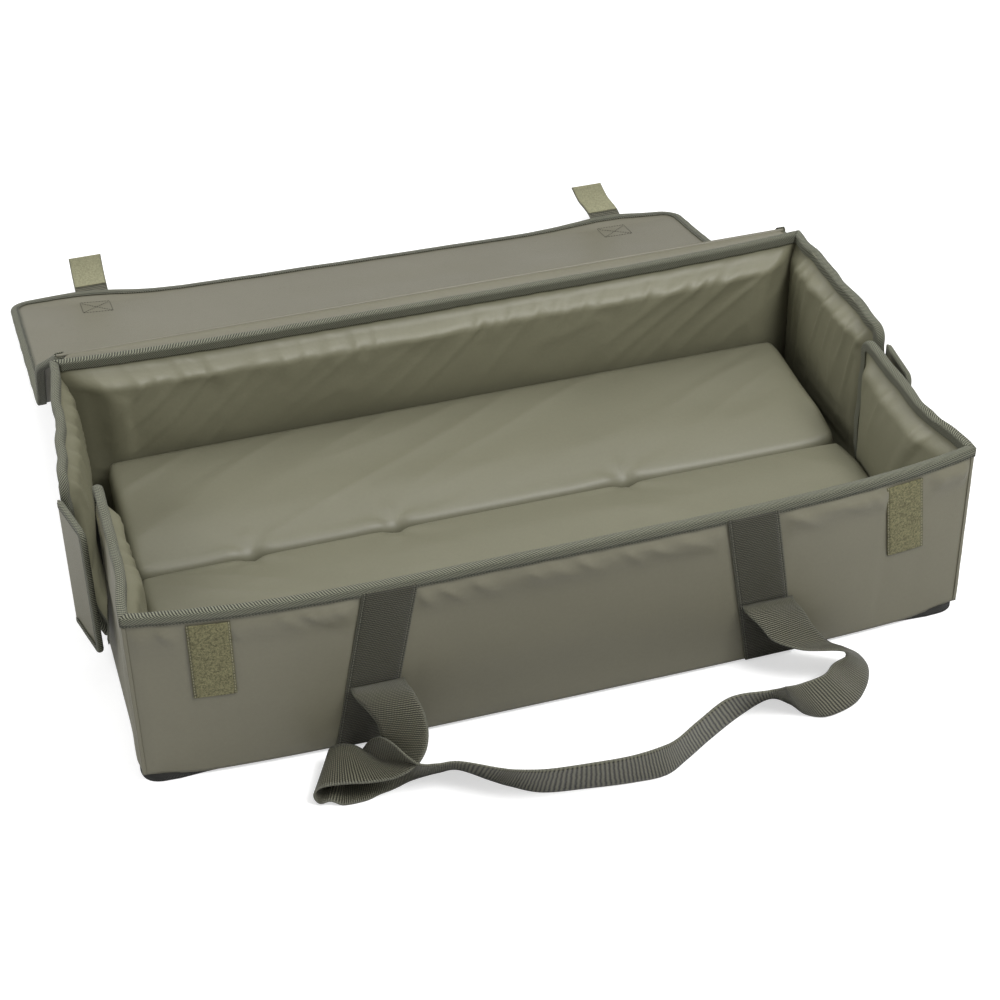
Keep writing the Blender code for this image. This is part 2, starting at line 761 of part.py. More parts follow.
# The rear handle lies close along the wall under the cover: out past each webbing and back.
REAR_HALF_SHARES = (
    (-0.2150, 0.0030, 1.00, 1.0, 0.0, 0.0, 0.0),
    (-0.2150, 0.0110, 0.98, 1.0, 0.0, -0.10, 0.0),
    (-0.2190, 0.0220, 0.86, 0.90, 0.35, -0.40, 0.0),
    (-0.2360, 0.0310, 0.64, 0.60, 0.45, -0.75, 0.1),
    (-0.2700, 0.0310, 0.42, 0.15, 0.15, -0.98, 0.9),
    (-0.3250, 0.0240, 0.38, 0.0, 0.0, -1.0, 1.0),
    (-0.3620, 0.0240, 0.38, 0.0, 0.0, -1.0, 1.0),
    (-0.3780, 0.0340, 0.38, 0.0, 0.0, -1.0, 1.0),
    (-0.3620, 0.0450, 0.38, 0.0, 0.0, -1.0, 1.0),
    (-0.3100, 0.0480, 0.38, 0.0, 0.0, -1.0, 1.0),
    (-0.2000, 0.0490, 0.38, 0.0, 0.0, -1.0, 1.0),
    (-0.1000, 0.0500, 0.38, 0.0, 0.0, -1.0, 1.0),
    (0.0000, 0.0510, 0.38, 0.0, 0.0, -1.0, 1.0),
)
REAR_ROUTE_SHARES = REAR_HALF_SHARES + tuple(
    (-row[0], row[1], row[2], -row[3], row[4], row[5], row[6])
    for row in reversed(REAR_HALF_SHARES[:-1])
)


def handle_pivot_y(front):
    """Y of the line at which a handle leaves its webbings, clear of their outermost edges."""
    out = GAP + WEBBING_THICK * 1.8 + GAP
    if front:
        return front_face(WEBBING_AT - WEBBING / 2, HANDLE_Z + WEBBING_THICK) - out
    return rear_face(WEBBING_AT + WEBBING / 2, HANDLE_Z - WEBBING_THICK) + out


def build_handles():
    """Each handle is one strap between its two webbings, hung on the line where it leaves them."""
    for name, front, shares in (
        ("handle_front", True, FRONT_ROUTE_SHARES),
        ("handle_rear", False, REAR_ROUTE_SHARES),
    ):
        line = handle_pivot_y(front)
        sign = -1 if front else 1
        parent = front_half if front else None
        pivot = make_pivot(name + "_pivot", (0, line, HANDLE_Z), parent)
        route = []
        for x, out, rise, wx, wy, wz, lay in shares:
            y = line + sign * (out - shares[0][1]) * LENGTH
            route.append((x * LENGTH, y, rise * HANDLE_Z, wx, wy, wz, lay))
        add_piece(name, strap_along(route, 96), STRAP, pivot)


# Closure flaps


def build_closures():
    """A bound flap on each rear half wall laps the split and grips the front half wall."""
    for side_name, side in (("left", -1), ("right", 1)):
        wall = HALF_ENDS["rear_" + side_name]
        middle_z = (FLAP_FOOT + FLAP_HEAD) / 2
        face = wall.at(SPLIT, -GAP - TAPE, FLAP_HEAD)
        bead = FLAP_THICK / 2 + GAP
        axis_x = face.x + side * (bead + GAP)
        axis_y = SPLIT + RUN_CLEAR
        pivot = make_pivot("closure_pivot_" + side_name, (axis_x, axis_y, middle_z))
        lean = math.radians(FLAP_LEAN_RIGHT if side > 0 else FLAP_LEAN_LEFT)
        ahead = Vector((-side * math.sin(lean), -math.cos(lean), 0))
        out = Vector((side * math.cos(lean), -math.sin(lean), 0))
        root = Vector((axis_x, axis_y, 0))

        def place(along, away, z):
            return root + ahead * along + out * away + Vector((0, 0, z))

        edge = TAPE + GAP
        low = FLAP_FOOT + edge
        high = FLAP_HEAD - edge
        end = FLAP_LONG - edge
        cut = FLAP_TAPE_REACH * 1.3
        flap = (
            (-bead * 0.85, bead * 0.5, 0), (0.0, bead, 0), (bead, FLAP_THICK / 2, 0),
            (end - cut, FLAP_THICK / 2, 0), (end - cut * 0.3, FLAP_THICK / 2, cut * 0.3),
            (end, FLAP_THICK / 2, cut),
        )
        rings = []
        for along, half, inset in flap:
            corners = ((-1, low + inset), (1, low + inset), (1, high - inset), (-1, high - inset))
            rings.append([place(along, away * half, z) for away, z in corners])
        add_piece("closure_flap_" + side_name, loft(rings), COATED, pivot, flat=True)

        reach = FLAP_TAPE_REACH
        first = bead + 2 * RUN_CLEAR
        path = [
            ((first, FLAP_FOOT), (0, 1)),
            ((FLAP_LONG - cut, FLAP_FOOT), (0, 1)),
            ((FLAP_LONG - cut * 0.29, FLAP_FOOT + cut * 0.29), (-0.7071, 0.7071)),
            ((FLAP_LONG, FLAP_FOOT + cut), (-1, 0)),
            ((FLAP_LONG, FLAP_HEAD - cut), (-1, 0)),
            ((FLAP_LONG - cut * 0.29, FLAP_HEAD - cut * 0.29), (-0.7071, -0.7071)),
            ((FLAP_LONG - cut, FLAP_HEAD), (0, -1)),
            ((first, FLAP_HEAD), (0, -1)),
        ]
        half = FLAP_THICK / 2 + GAP
        section = (
            (-half - TAPE, reach), (-half - TAPE, 0), (half + TAPE, 0), (half + TAPE, reach),
            (half, reach), (half, TAPE), (-half, TAPE), (-half, reach),
        )
        rings = []
        for (along, z), (da, dz) in path:
            rings.append(
                [place(along + da * inward, away, z + dz * inward) for away, inward in section]
            )
        add_piece("closure_tape_" + side_name, loft(rings), BINDING, pivot, flat=True)

        far = FLAP_LONG - reach - 2 * GAP
        near = far - GRIP_WIDE
        top = FLAP_HEAD - reach - 2 * GAP
        back = -FLAP_THICK / 2 - GAP
        corners = [(near, top - GRIP_TALL), (far, top - GRIP_TALL), (far, top), (near, top)]
        rings = [[place(a, back, z) for a, z in corners]]
        rings.append([place(a, back - LOOP_THICK, z) for a, z in corners])
        add_piece("closure_hook_" + side_name, loft(rings), LOOP, pivot, flat=True)

        front = HALF_ENDS["front_" + side_name]
        near_y = -SPLIT - TAPE_REACH - 2 * GAP
        rings = []
        for y in spread(near_y, near_y - GRIP_WIDE, 3):
            levels = spread(top - GRIP_TALL, top, 3)
            outer = [front.at(y, -GAP - LOOP_THICK, z) for z in levels]
            inner = [front.at(y, -GAP, z) for z in levels]
            rings.append(outer + inner[::-1])
        add_piece("closure_loop_" + side_name, loft(rings), LOOP, front_half)


# Cover


lid_root = make_pivot("lid_pivot", (0, LID_Y, LID_Z))
lid_fold = make_pivot("lid_fold_pivot", (0, LID_FOLD_Y, LID_FOLD_Z), lid_root)


def lid_frame(start, stop):
    """A function from across, along and away to a point on the cover, seen along its slope."""
    ahead = (Vector(stop) - Vector(start)).normalized()
    normal = Vector((1, 0, 0)).cross(ahead)

    def place(across, along, away):
        return Vector((LID_SHIFT + across, 0, 0)) + Vector(start) + ahead * along + normal * away

    return place, (Vector(stop) - Vector(start)).length, ahead


def edge_tape(place, path, thick, reach):
    """Binding folded over a thin panel's edge, along a path of points and inward directions."""
    half = thick / 2 + GAP
    section = (
        (-half - TAPE, reach), (-half - TAPE, 0), (half + TAPE, 0), (half + TAPE, reach),
        (half, reach), (half, TAPE), (-half, TAPE), (-half, reach),
    )
    rings = []
    for (across, along), (da, db) in path:
        rings.append(
            [place(across + da * inward, along + db * inward, away) for away, inward in section]
        )
    return loft(rings)


def build_lid():
    """The cover is one thin panel that creases behind the wall, bound round its edges."""
    root = (0, LID_Y, LID_Z)
    crease = (0, LID_FOLD_Y, LID_FOLD_Z)
    first_length = (Vector(crease) - Vector(root)).length
    rest = LID_LONG - first_length
    drop = LID_FOLD_Z - LID_FAR_Z
    far = (0, LID_FOLD_Y + math.sqrt(rest * rest - drop * drop), LID_FAR_Z)
    half = LID_WIDE / 2
    edge = TAPE + GAP
    place, length, _ = lid_frame(root, crease)
    near = HINGE_BEAD + GAP
    last = length - LID_THICK * 0.8
    rings = []
    for across in spread(-half + edge, half - edge, 12):
        ring = [(near, -1), (length, -1)]
        for angle in (-60, -30, 0, 30, 60):
            arc = math.radians(angle)
            ring.append((length + LID_THICK / 2 * math.cos(arc), math.sin(arc)))
        ring += [(length, 1), (near, 1)]
        rings.append([place(across, along, away * LID_THICK / 2) for along, away in ring])
    add_piece("lid_root_panel", loft(rings), COATED, lid_root, flat=True)
    for name, sign in (("left", -1), ("right", 1)):
        path = [((sign * half, near), (-sign, 0)), ((sign * half, last), (-sign, 0))]
        tape = edge_tape(place, path, LID_THICK, LID_TAPE_REACH)
        add_piece("lid_root_tape_" + name, tape, BINDING, lid_root, flat=True)

    place, length, ahead = lid_frame(crease, far)
    radius = LID_CORNER
    centre = (half - radius, length - radius)
    panel = [(half - edge, LID_THICK / 2 + GAP)]
    path = [((half, LID_THICK * 0.8), (-1, 0))]
    for angle in (0, 18, 36, 54, 72, 90):
        c = math.cos(math.radians(angle))
        s = math.sin(math.radians(angle))
        path.append(((centre[0] + radius * c, centre[1] + radius * s), (-c, -s)))
        panel.append((centre[0] + (radius - edge) * c, centre[1] + (radius - edge) * s))
    mirrored = [((-a, b), (-da, db)) for (a, b), (da, db) in reversed(path)]
    path += mirrored
    panel += [(-a, b) for a, b in reversed(panel)]
    rings = []
    for away in (-LID_THICK / 2, LID_THICK / 2):
        rings.append([place(across, along, away) for across, along in panel])
    add_piece("lid_panel", loft(rings), COATED, lid_fold, flat=True)
    tape = edge_tape(place, path, LID_THICK, LID_TAPE_REACH)
    add_piece("lid_tape", tape, BINDING, lid_fold)
    build_tabs(place, length, ahead)


def build_tabs(place, length, ahead):
    """Two stiff tabs rise from the cover's free edge, with hook tape on their inner face."""
    slope = math.atan2(ahead.z, ahead.y)
    for name, sign in (("left", -1), ("right", 1)):
        across = sign * TAB_AT - LID_SHIFT
        hinge = place(across, length + TAB_BEAD + GAP, 0)
        pivot = make_pivot("tab_pivot_" + name, tuple(hinge), lid_fold)
        steps = 6
        spine = [hinge]
        angles = []
        for index in range(steps + 1):
            share = index / steps
            angles.append(slope + math.radians(TAB_RISE + TAB_CURL * share))
        step = TAB_LONG / steps
        for angle in angles[1:]:
            spine.append(spine[-1] + Vector((0, math.cos(angle), math.sin(angle))) * step)
        hooks = []
        start = 1 - TAB_HOOK / TAB_LONG
        wide = Vector((LOOP_WIDE / 2, 0, 0))
        back = Vector((0, math.cos(angles[0]), math.sin(angles[0])))
        across_back = Vector((0, -math.sin(angles[0]), math.cos(angles[0])))
        rings = []
        for along, half in ((-0.85, 0.45), (-0.40, 0.88), (0.0, 0.98), (0.8, 0.60)):
            spot = hinge + back * along * TAB_BEAD
            up = across_back * half * TAB_BEAD
            rings.append([spot - wide - up, spot + wide - up, spot + wide + up, spot - wide + up])
        for index, (spot, angle) in enumerate(zip(spine, angles)):
            normal = Vector((0, -math.sin(angle), math.cos(angle)))
            up = normal * TAB_THICK / 2
            if index == 0:
                continue
            rings.append([spot - wide - up, spot + wide - up, spot + wide + up, spot - wide + up])
            if index / steps >= start - 0.06:
                low = normal * (TAB_THICK / 2 + GAP)
                high = normal * (TAB_THICK / 2 + GAP + LOOP_THICK)
                hooks.append([spot - wide + low, spot + wide + low, spot + wide + high, spot - wide + high])
        add_piece("tab_" + name, loft(rings), STRAP, pivot)
        add_piece("tab_hook_" + name, loft(hooks), LOOP, pivot)


def build_hinge_tape():
    """A strip from the rear rim out to the bead that the cover turns on."""
    rings = []
    half = LENGTH / 2 - CORNER_LEG
    for share in spread(0, 1, LONG_COLUMNS, 0.55):
        x = -half + 2 * half * share
        low = HEIGHT - TAPE_REACH * 0.55
        near = rear_face(x, HEIGHT - TAPE_REACH) + TAPE + 3 * GAP
        ring = [Vector((x, near, low)), Vector((x, LID_Y - HINGE_BEAD * 1.6, low))]
        ring.append(Vector((x, LID_Y + HINGE_BEAD * 0.2, LID_Z - HINGE_BEAD * 1.35)))
        for angle in (-30, 20, 70, 120, 170, 220):
            arc = math.radians(angle)
            y = LID_Y + HINGE_BEAD * math.cos(arc)
            ring.append(Vector((x, y, LID_Z + HINGE_BEAD * math.sin(arc))))
        ring.append(Vector((x, LID_Y - HINGE_BEAD * 1.3, LID_Z - HINGE_BEAD * 1.2)))
        ring.append(Vector((x, near, low + HINGE_BEAD)))
        rings.append(ring)
    add_piece("lid_hinge_tape", loft(rings), BINDING, None, flat=True)


build_base()
build_pads()
build_fold_tape()
build_walls()
build_corner_tapes()
build_webbings()
build_handles()
build_closures()
build_lid()
build_hinge_tape()
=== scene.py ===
"""Dressed model of a walled unhooking mat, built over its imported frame.

The tray's padded walls, its two floor pads, the bindings, webbing handles, hook-and-loop patches
and the cover thrown back behind the tray are each made as cloth: grids laid over the same
surfaces as the frame's solids, settled in a short cloth simulation where they are padded, and
finished with woven, ribbed and looped materials. Lengths are in metres, +Z up, +X to the right
and +Y from the front wall to the rear wall.
"""

import json
import logging
import math
from dataclasses import dataclass, field
from enum import Enum
from typing import Callable, Iterable, Optional, Sequence

import bmesh
import bpy
import numpy as np
from mathutils import Matrix, Vector, noise

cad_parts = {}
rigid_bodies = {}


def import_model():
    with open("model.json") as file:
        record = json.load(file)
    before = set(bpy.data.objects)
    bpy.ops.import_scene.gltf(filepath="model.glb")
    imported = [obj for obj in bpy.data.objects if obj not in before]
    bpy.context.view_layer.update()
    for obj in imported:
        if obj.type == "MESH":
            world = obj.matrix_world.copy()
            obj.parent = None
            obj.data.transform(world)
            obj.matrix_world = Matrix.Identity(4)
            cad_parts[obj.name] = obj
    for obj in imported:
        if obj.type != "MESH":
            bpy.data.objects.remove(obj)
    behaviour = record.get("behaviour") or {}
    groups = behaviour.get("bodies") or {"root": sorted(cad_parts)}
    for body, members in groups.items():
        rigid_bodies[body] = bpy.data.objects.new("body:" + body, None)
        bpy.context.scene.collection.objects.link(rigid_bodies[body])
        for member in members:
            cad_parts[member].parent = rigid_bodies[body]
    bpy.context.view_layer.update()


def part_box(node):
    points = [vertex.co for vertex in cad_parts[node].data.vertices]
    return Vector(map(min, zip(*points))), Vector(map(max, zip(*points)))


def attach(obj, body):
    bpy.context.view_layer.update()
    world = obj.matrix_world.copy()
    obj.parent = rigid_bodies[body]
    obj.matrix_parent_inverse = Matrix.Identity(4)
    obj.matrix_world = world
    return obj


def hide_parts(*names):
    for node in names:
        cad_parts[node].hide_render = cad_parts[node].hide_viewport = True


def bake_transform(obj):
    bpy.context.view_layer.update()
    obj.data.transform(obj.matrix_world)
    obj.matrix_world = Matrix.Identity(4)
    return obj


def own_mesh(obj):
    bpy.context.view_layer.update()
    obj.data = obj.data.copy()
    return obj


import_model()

LOG = logging.getLogger("unhooking_mat")

Colour = tuple[float, float, float]
Place = Callable[[float, float], Vector]


def smooth(share: float, reach: float = 1.0) -> float:
    """Return a value that rises from 0 to 1 without a corner as share goes from 0 to reach."""
    share = min(1.0, max(0.0, share / reach))
    return share * share * (3 - 2 * share)


def near(value: float, middle: float, reach: float) -> float:
    """Return a bell of height 1 at middle that fades over reach."""
    return math.exp(-(((value - middle) / reach) ** 2))


def grain(x: float, y: float, z: float) -> float:
    """Return smooth noise from about -1 to 1 at a place."""
    return noise.noise(Vector((x, y, z)))


def crest(x: float, y: float, z: float) -> float:
    """Return folds from 0 to 1 that are narrow on top and broad between, as in pinched cloth."""
    return max(0.0, 1.0 - 2.6 * abs(grain(x, y, z))) ** 1.6


def roll_edge(distance: float, radius: float) -> float:
    """Return how much of a rolled edge's radius is missing at a distance from that edge."""
    if distance >= radius:
        return 0.0
    turn = 1 - max(0.0, distance) / radius
    return radius * (1 - math.sqrt(max(0.0, 1 - turn * turn)))


# Materials


class Pattern(Enum):
    """The kinds of cloth on the mat."""

    COATED = "coated plain weave"
    TWILL = "diagonal twill tape"
    RIBBED = "ribbed webbing"
    LOOPED = "hook-and-loop pile"
    BOARD = "coarse base cloth"
    THREAD = "sewing thread"


class Wiring:
    """Adds nodes to one node tree and links them."""

    def __init__(self, tree: bpy.types.NodeTree) -> None:
        """Keep the tree that the nodes go into."""
        self.tree = tree

    def add(self, kind: str, **settings: object) -> bpy.types.Node:
        """Add one node.

        Args:
            kind: Blender's name of the node type.
            **settings: properties to set on it.

        Returns:
            The new node.
        """
        node = self.tree.nodes.new(kind)
        for name, value in settings.items():
            setattr(node, name, value)
        return node

    def feed(self, socket: bpy.types.NodeSocket, value: object) -> None:
        """Link a socket to another, or set its constant."""
        if isinstance(value, bpy.types.NodeSocket):
            self.tree.links.new(value, socket)
        else:
            socket.default_value = value

    def sum(self, operation: str, *values: object) -> bpy.types.NodeSocket:
        """Add a Math node.

        Args:
            operation: the Math node's operation.
            *values: sockets or numbers for its inputs.

        Returns:
            The result socket.
        """
        node = self.add("ShaderNodeMath", operation=operation)
        for socket, value in zip(node.inputs, values):
            self.feed(socket, value)
        return node.outputs[0]

    def ease(
        self, value: object, low: float, high: float, to_low: float = 0.0, to_high: float = 1.0
    ) -> bpy.types.NodeSocket:
        """Add a smooth Map Range.

        Args:
            value: the socket or number to map.
            low: its lowest value.
            high: its highest value.
            to_low: what low becomes.
            to_high: what high becomes.

        Returns:
            The mapped socket.
        """
        node = self.add("ShaderNodeMapRange", interpolation_type="SMOOTHSTEP")
        ends = (("From Min", low), ("From Max", high), ("To Min", to_low), ("To Max", to_high))
        for name, item in (("Value", value), *ends):
            self.feed(node.inputs[name], item)
        return node.outputs[0]

    def mix(self, share: object, first: object, second: object, blend: str = "MIX") -> bpy.types.NodeSocket:
        """Mix two colours.

        Args:
            share: how much of the second colour shows.
            first: the first colour or socket.
            second: the second colour or socket.
            blend: the blend type.

        Returns:
            The mixed colour socket.
        """
        node = self.add("ShaderNodeMix", data_type="RGBA", blend_type=blend)
        self.feed(node.inputs[0], share)
        self.feed(node.inputs[6], first)
        self.feed(node.inputs[7], second)
        return node.outputs[2]

    def noise(
        self, vector: bpy.types.NodeSocket, scale: float, detail: float = 2.0, rough: float = 0.5
    ) -> bpy.types.NodeSocket:
        """Add a Noise Texture.

        Args:
            vector: where it is read.
            scale: its scale per metre.
            detail: its octaves.
            rough: how strong the finer octaves are.

        Returns:
            Its factor socket.
        """
        node = self.add("ShaderNodeTexNoise")
        self.feed(node.inputs["Vector"], vector)
        self.feed(node.inputs["Scale"], scale)
        self.feed(node.inputs["Detail"], detail)
        self.feed(node.inputs["Roughness"], rough)
        return node.outputs[0]


@dataclass
class EffectGroups:
    """Shader node groups that the cloths share, built once each."""

    made: dict[str, bpy.types.NodeTree] = field(default_factory=dict)

    def start(
        self, name: str, inputs: Sequence[str], outputs: Sequence[str]
    ) -> tuple[bpy.types.NodeTree, Wiring, bpy.types.Node, bpy.types.Node]:
        """Open a new group.

        Args:
            name: the group's name.
            inputs: its inputs, where a name that starts with Cloth or Place is a vector.
            outputs: its float outputs.

        Returns:
            The tree, its wiring, its input node and its output node.
        """
        tree = bpy.data.node_groups.new(name, "ShaderNodeTree")
        for title in inputs:
            kind = "NodeSocketVector" if title.startswith(("Cloth", "Place")) else "NodeSocketFloat"
            tree.interface.new_socket(name=title, in_out="INPUT", socket_type=kind)
        for title in outputs:
            tree.interface.new_socket(name=title, in_out="OUTPUT", socket_type="NodeSocketFloat")
        wires = Wiring(tree)
        return tree, wires, wires.add("NodeGroupInput"), wires.add("NodeGroupOutput")

    def coated(self) -> bpy.types.NodeTree:
        """Build the fine plain weave under a coat.

        Returns:
            A group that gives height and tint from 0 to 1.
        """
        tree, w, source, sink = self.start("Coated weave", ("Cloth", "Pitch"), ("Height", "Tint"))
        parts = w.add("ShaderNodeSeparateXYZ")
        w.feed(parts.inputs[0], source.outputs["Cloth"])
        waves = []
        for axis in (0, 1):
            turn = w.sum("DIVIDE", parts.outputs[axis], source.outputs["Pitch"])
            waves.append(w.sum("SINE", w.sum("MULTIPLY", turn, 2 * math.pi)))
        weave = w.sum("MULTIPLY_ADD", w.sum("MULTIPLY", waves[0], waves[1]), 0.5, 0.5)
        slub = w.noise(source.outputs["Cloth"], 260.0, 2.0, 0.6)
        w.feed(sink.inputs["Height"], w.sum("MULTIPLY_ADD", slub, 0.8, w.sum("MULTIPLY", weave, 0.6)))
        w.feed(sink.inputs["Tint"], w.sum("MULTIPLY_ADD", slub, 0.5, w.sum("MULTIPLY", weave, 0.5)))
        return tree

    def twill(self) -> bpy.types.NodeTree:
        """Build slanting ridges of yarn along a tape.

        Returns:
            A group that gives height and tint from 0 to 1; the tint is painted highlight on the ridges and
            painted shade between them.
        """
        tree, w, source, sink = self.start("Twill tape", ("Cloth", "Pitch", "Slant"), ("Height", "Tint"))
        parts = w.add("ShaderNodeSeparateXYZ")
        w.feed(parts.inputs[0], source.outputs["Cloth"])
        wobble = w.sum("MULTIPLY_ADD", w.noise(source.outputs["Cloth"], 140.0, 1.0), 0.0016, -0.0008)
        lean = w.sum("MULTIPLY_ADD", parts.outputs[1], source.outputs["Slant"], parts.outputs[0])
        turn = w.sum("DIVIDE", w.sum("ADD", lean, wobble), source.outputs["Pitch"])
        ridge = w.sum("ABSOLUTE", w.sum("SINE", w.sum("MULTIPLY", turn, math.pi)))
        across = w.sum("DIVIDE", parts.outputs[1], w.sum("MULTIPLY", source.outputs["Pitch"], 0.5))
        yarn = w.sum("MULTIPLY_ADD", w.sum("SINE", w.sum("MULTIPLY", across, 2 * math.pi)), 0.5, 0.5)
        w.feed(sink.inputs["Height"], w.sum("MULTIPLY_ADD", yarn, 0.25, w.sum("MULTIPLY", ridge, 0.75)))
        # Painted highlight and shade: the ridges are lighter and the gaps between them darker in the colour,
        # on top of their bump.
        crest_highlight = w.sum("MULTIPLY", w.sum("POWER", ridge, 1.4), 0.82)
        w.feed(sink.inputs["Tint"], w.sum("MULTIPLY_ADD", yarn, 0.18, crest_highlight))
        return tree

    def ribs(self) -> bpy.types.NodeTree:
        """Build the ribs across a webbing, with its plain selvedges.

        Returns:
            A group that gives height, tint and the selvedge mask; the tint is painted highlight on the rib
            crests and painted shade in the grooves.
        """
        shown = ("Height", "Tint", "Selvedge")
        tree, w, source, sink = self.start("Webbing ribs", ("Cloth", "Pitch", "Width"), shown)
        parts = w.add("ShaderNodeSeparateXYZ")
        w.feed(parts.inputs[0], source.outputs["Cloth"])
        wobble = w.sum("MULTIPLY_ADD", w.noise(source.outputs["Cloth"], 90.0, 2.0), 0.0010, -0.0005)
        turn = w.sum("DIVIDE", w.sum("ADD", parts.outputs[0], wobble), source.outputs["Pitch"])
        ridge = w.sum("ABSOLUTE", w.sum("SINE", w.sum("MULTIPLY", turn, math.pi)))
        half = w.sum("SINE", w.sum("MULTIPLY", turn, math.pi))
        yarn = w.sum("SINE", w.sum("MULTIPLY", parts.outputs[1], 2 * math.pi / 0.0026))
        yarn = w.sum("MULTIPLY_ADD", w.sum("MULTIPLY", yarn, half), 0.5, 0.5)
        over = w.sum("SUBTRACT", source.outputs["Width"], parts.outputs[1])
        edge = w.sum("MINIMUM", parts.outputs[1], over)
        edge = w.ease(edge, 0.0006, 0.0014, 1.0, 0.0)
        w.feed(sink.inputs["Height"], w.sum("MULTIPLY_ADD", yarn, 0.22, w.sum("MULTIPLY", ridge, 0.78)))
        # Painted highlight and shade: the crests are lighter and the grooves darker in the colour, on top of
        # their bump.
        crest_highlight = w.sum("MULTIPLY", w.sum("POWER", ridge, 1.5), 0.75)
        w.feed(sink.inputs["Tint"], w.sum("MULTIPLY_ADD", yarn, 0.25, crest_highlight))
        w.feed(sink.inputs["Selvedge"], edge)
        return tree

    def pile(self) -> bpy.types.NodeTree:
        """Build the matted pile of hook-and-loop tape.

        Returns:
            A group that gives height and tint.
        """
        tree, w, source, sink = self.start("Loop pile", ("Place",), ("Height", "Tint"))
        fine = w.noise(source.outputs["Place"], 900.0, 3.0, 0.7)
        coarse = w.noise(source.outputs["Place"], 460.0, 2.0, 0.6)
        both = w.sum("MULTIPLY_ADD", fine, 0.55, w.sum("MULTIPLY", coarse, 0.45))
        w.feed(sink.inputs["Height"], both)
        w.feed(sink.inputs["Tint"], w.ease(both, 0.36, 0.64))
        return tree

    def stitches(self) -> bpy.types.NodeTree:
        """Build one sewn line along a cloth's length.

        Returns:
            A group that gives the thread mask and the dent beside it; the dent also darkens the colour as
            painted shade.
        """
        tree, w, source, sink = self.start("Stitch line", ("Cloth", "Line", "Pitch"), ("Thread", "Dent"))
        parts = w.add("ShaderNodeSeparateXYZ")
        w.feed(parts.inputs[0], source.outputs["Cloth"])
        away = w.sum("ABSOLUTE", w.sum("SUBTRACT", parts.outputs[1], source.outputs["Line"]))
        turn = w.sum("FRACT", w.sum("DIVIDE", parts.outputs[0], source.outputs["Pitch"]))
        dash = w.sum("MULTIPLY", w.ease(turn, 0.10, 0.20), w.ease(turn, 0.80, 0.90, 1.0, 0.0))
        w.feed(sink.inputs["Thread"], w.sum("MULTIPLY", dash, w.ease(away, 0.00028, 0.00050, 1.0, 0.0)))
        w.feed(sink.inputs["Dent"], w.ease(away, 0.0002, 0.0022, 1.0, 0.0))
        return tree

    def tone(self) -> bpy.types.NodeTree:
        """Build the slow drift of colour over a used cloth, with faint rubbed marks.

        Returns:
            A group that gives tone around 1 and a rubbed mask.
        """
        tree, w, source, sink = self.start("Cloth tone", ("Place", "Amount"), ("Tone", "Rubbed"))
        slow = w.noise(source.outputs["Place"], 5.0, 2.0)
        fine = w.noise(source.outputs["Place"], 38.0, 3.0, 0.6)
        both = w.sum("ADD", w.sum("MULTIPLY_ADD", slow, 0.7, -0.35), w.sum("MULTIPLY_ADD", fine, 0.3, -0.15))
        w.feed(sink.inputs["Tone"], w.sum("MULTIPLY_ADD", both, source.outputs["Amount"], 1.0))
        w.feed(sink.inputs["Rubbed"], w.ease(w.noise(source.outputs["Place"], 90.0, 4.0, 0.65), 0.60, 0.78))
        return tree

    def get(self, name: str) -> bpy.types.NodeTree:
        """Return the named group, building it the first time."""
        if name not in self.made:
            self.made[name] = getattr(self, name)()
        return self.made[name]


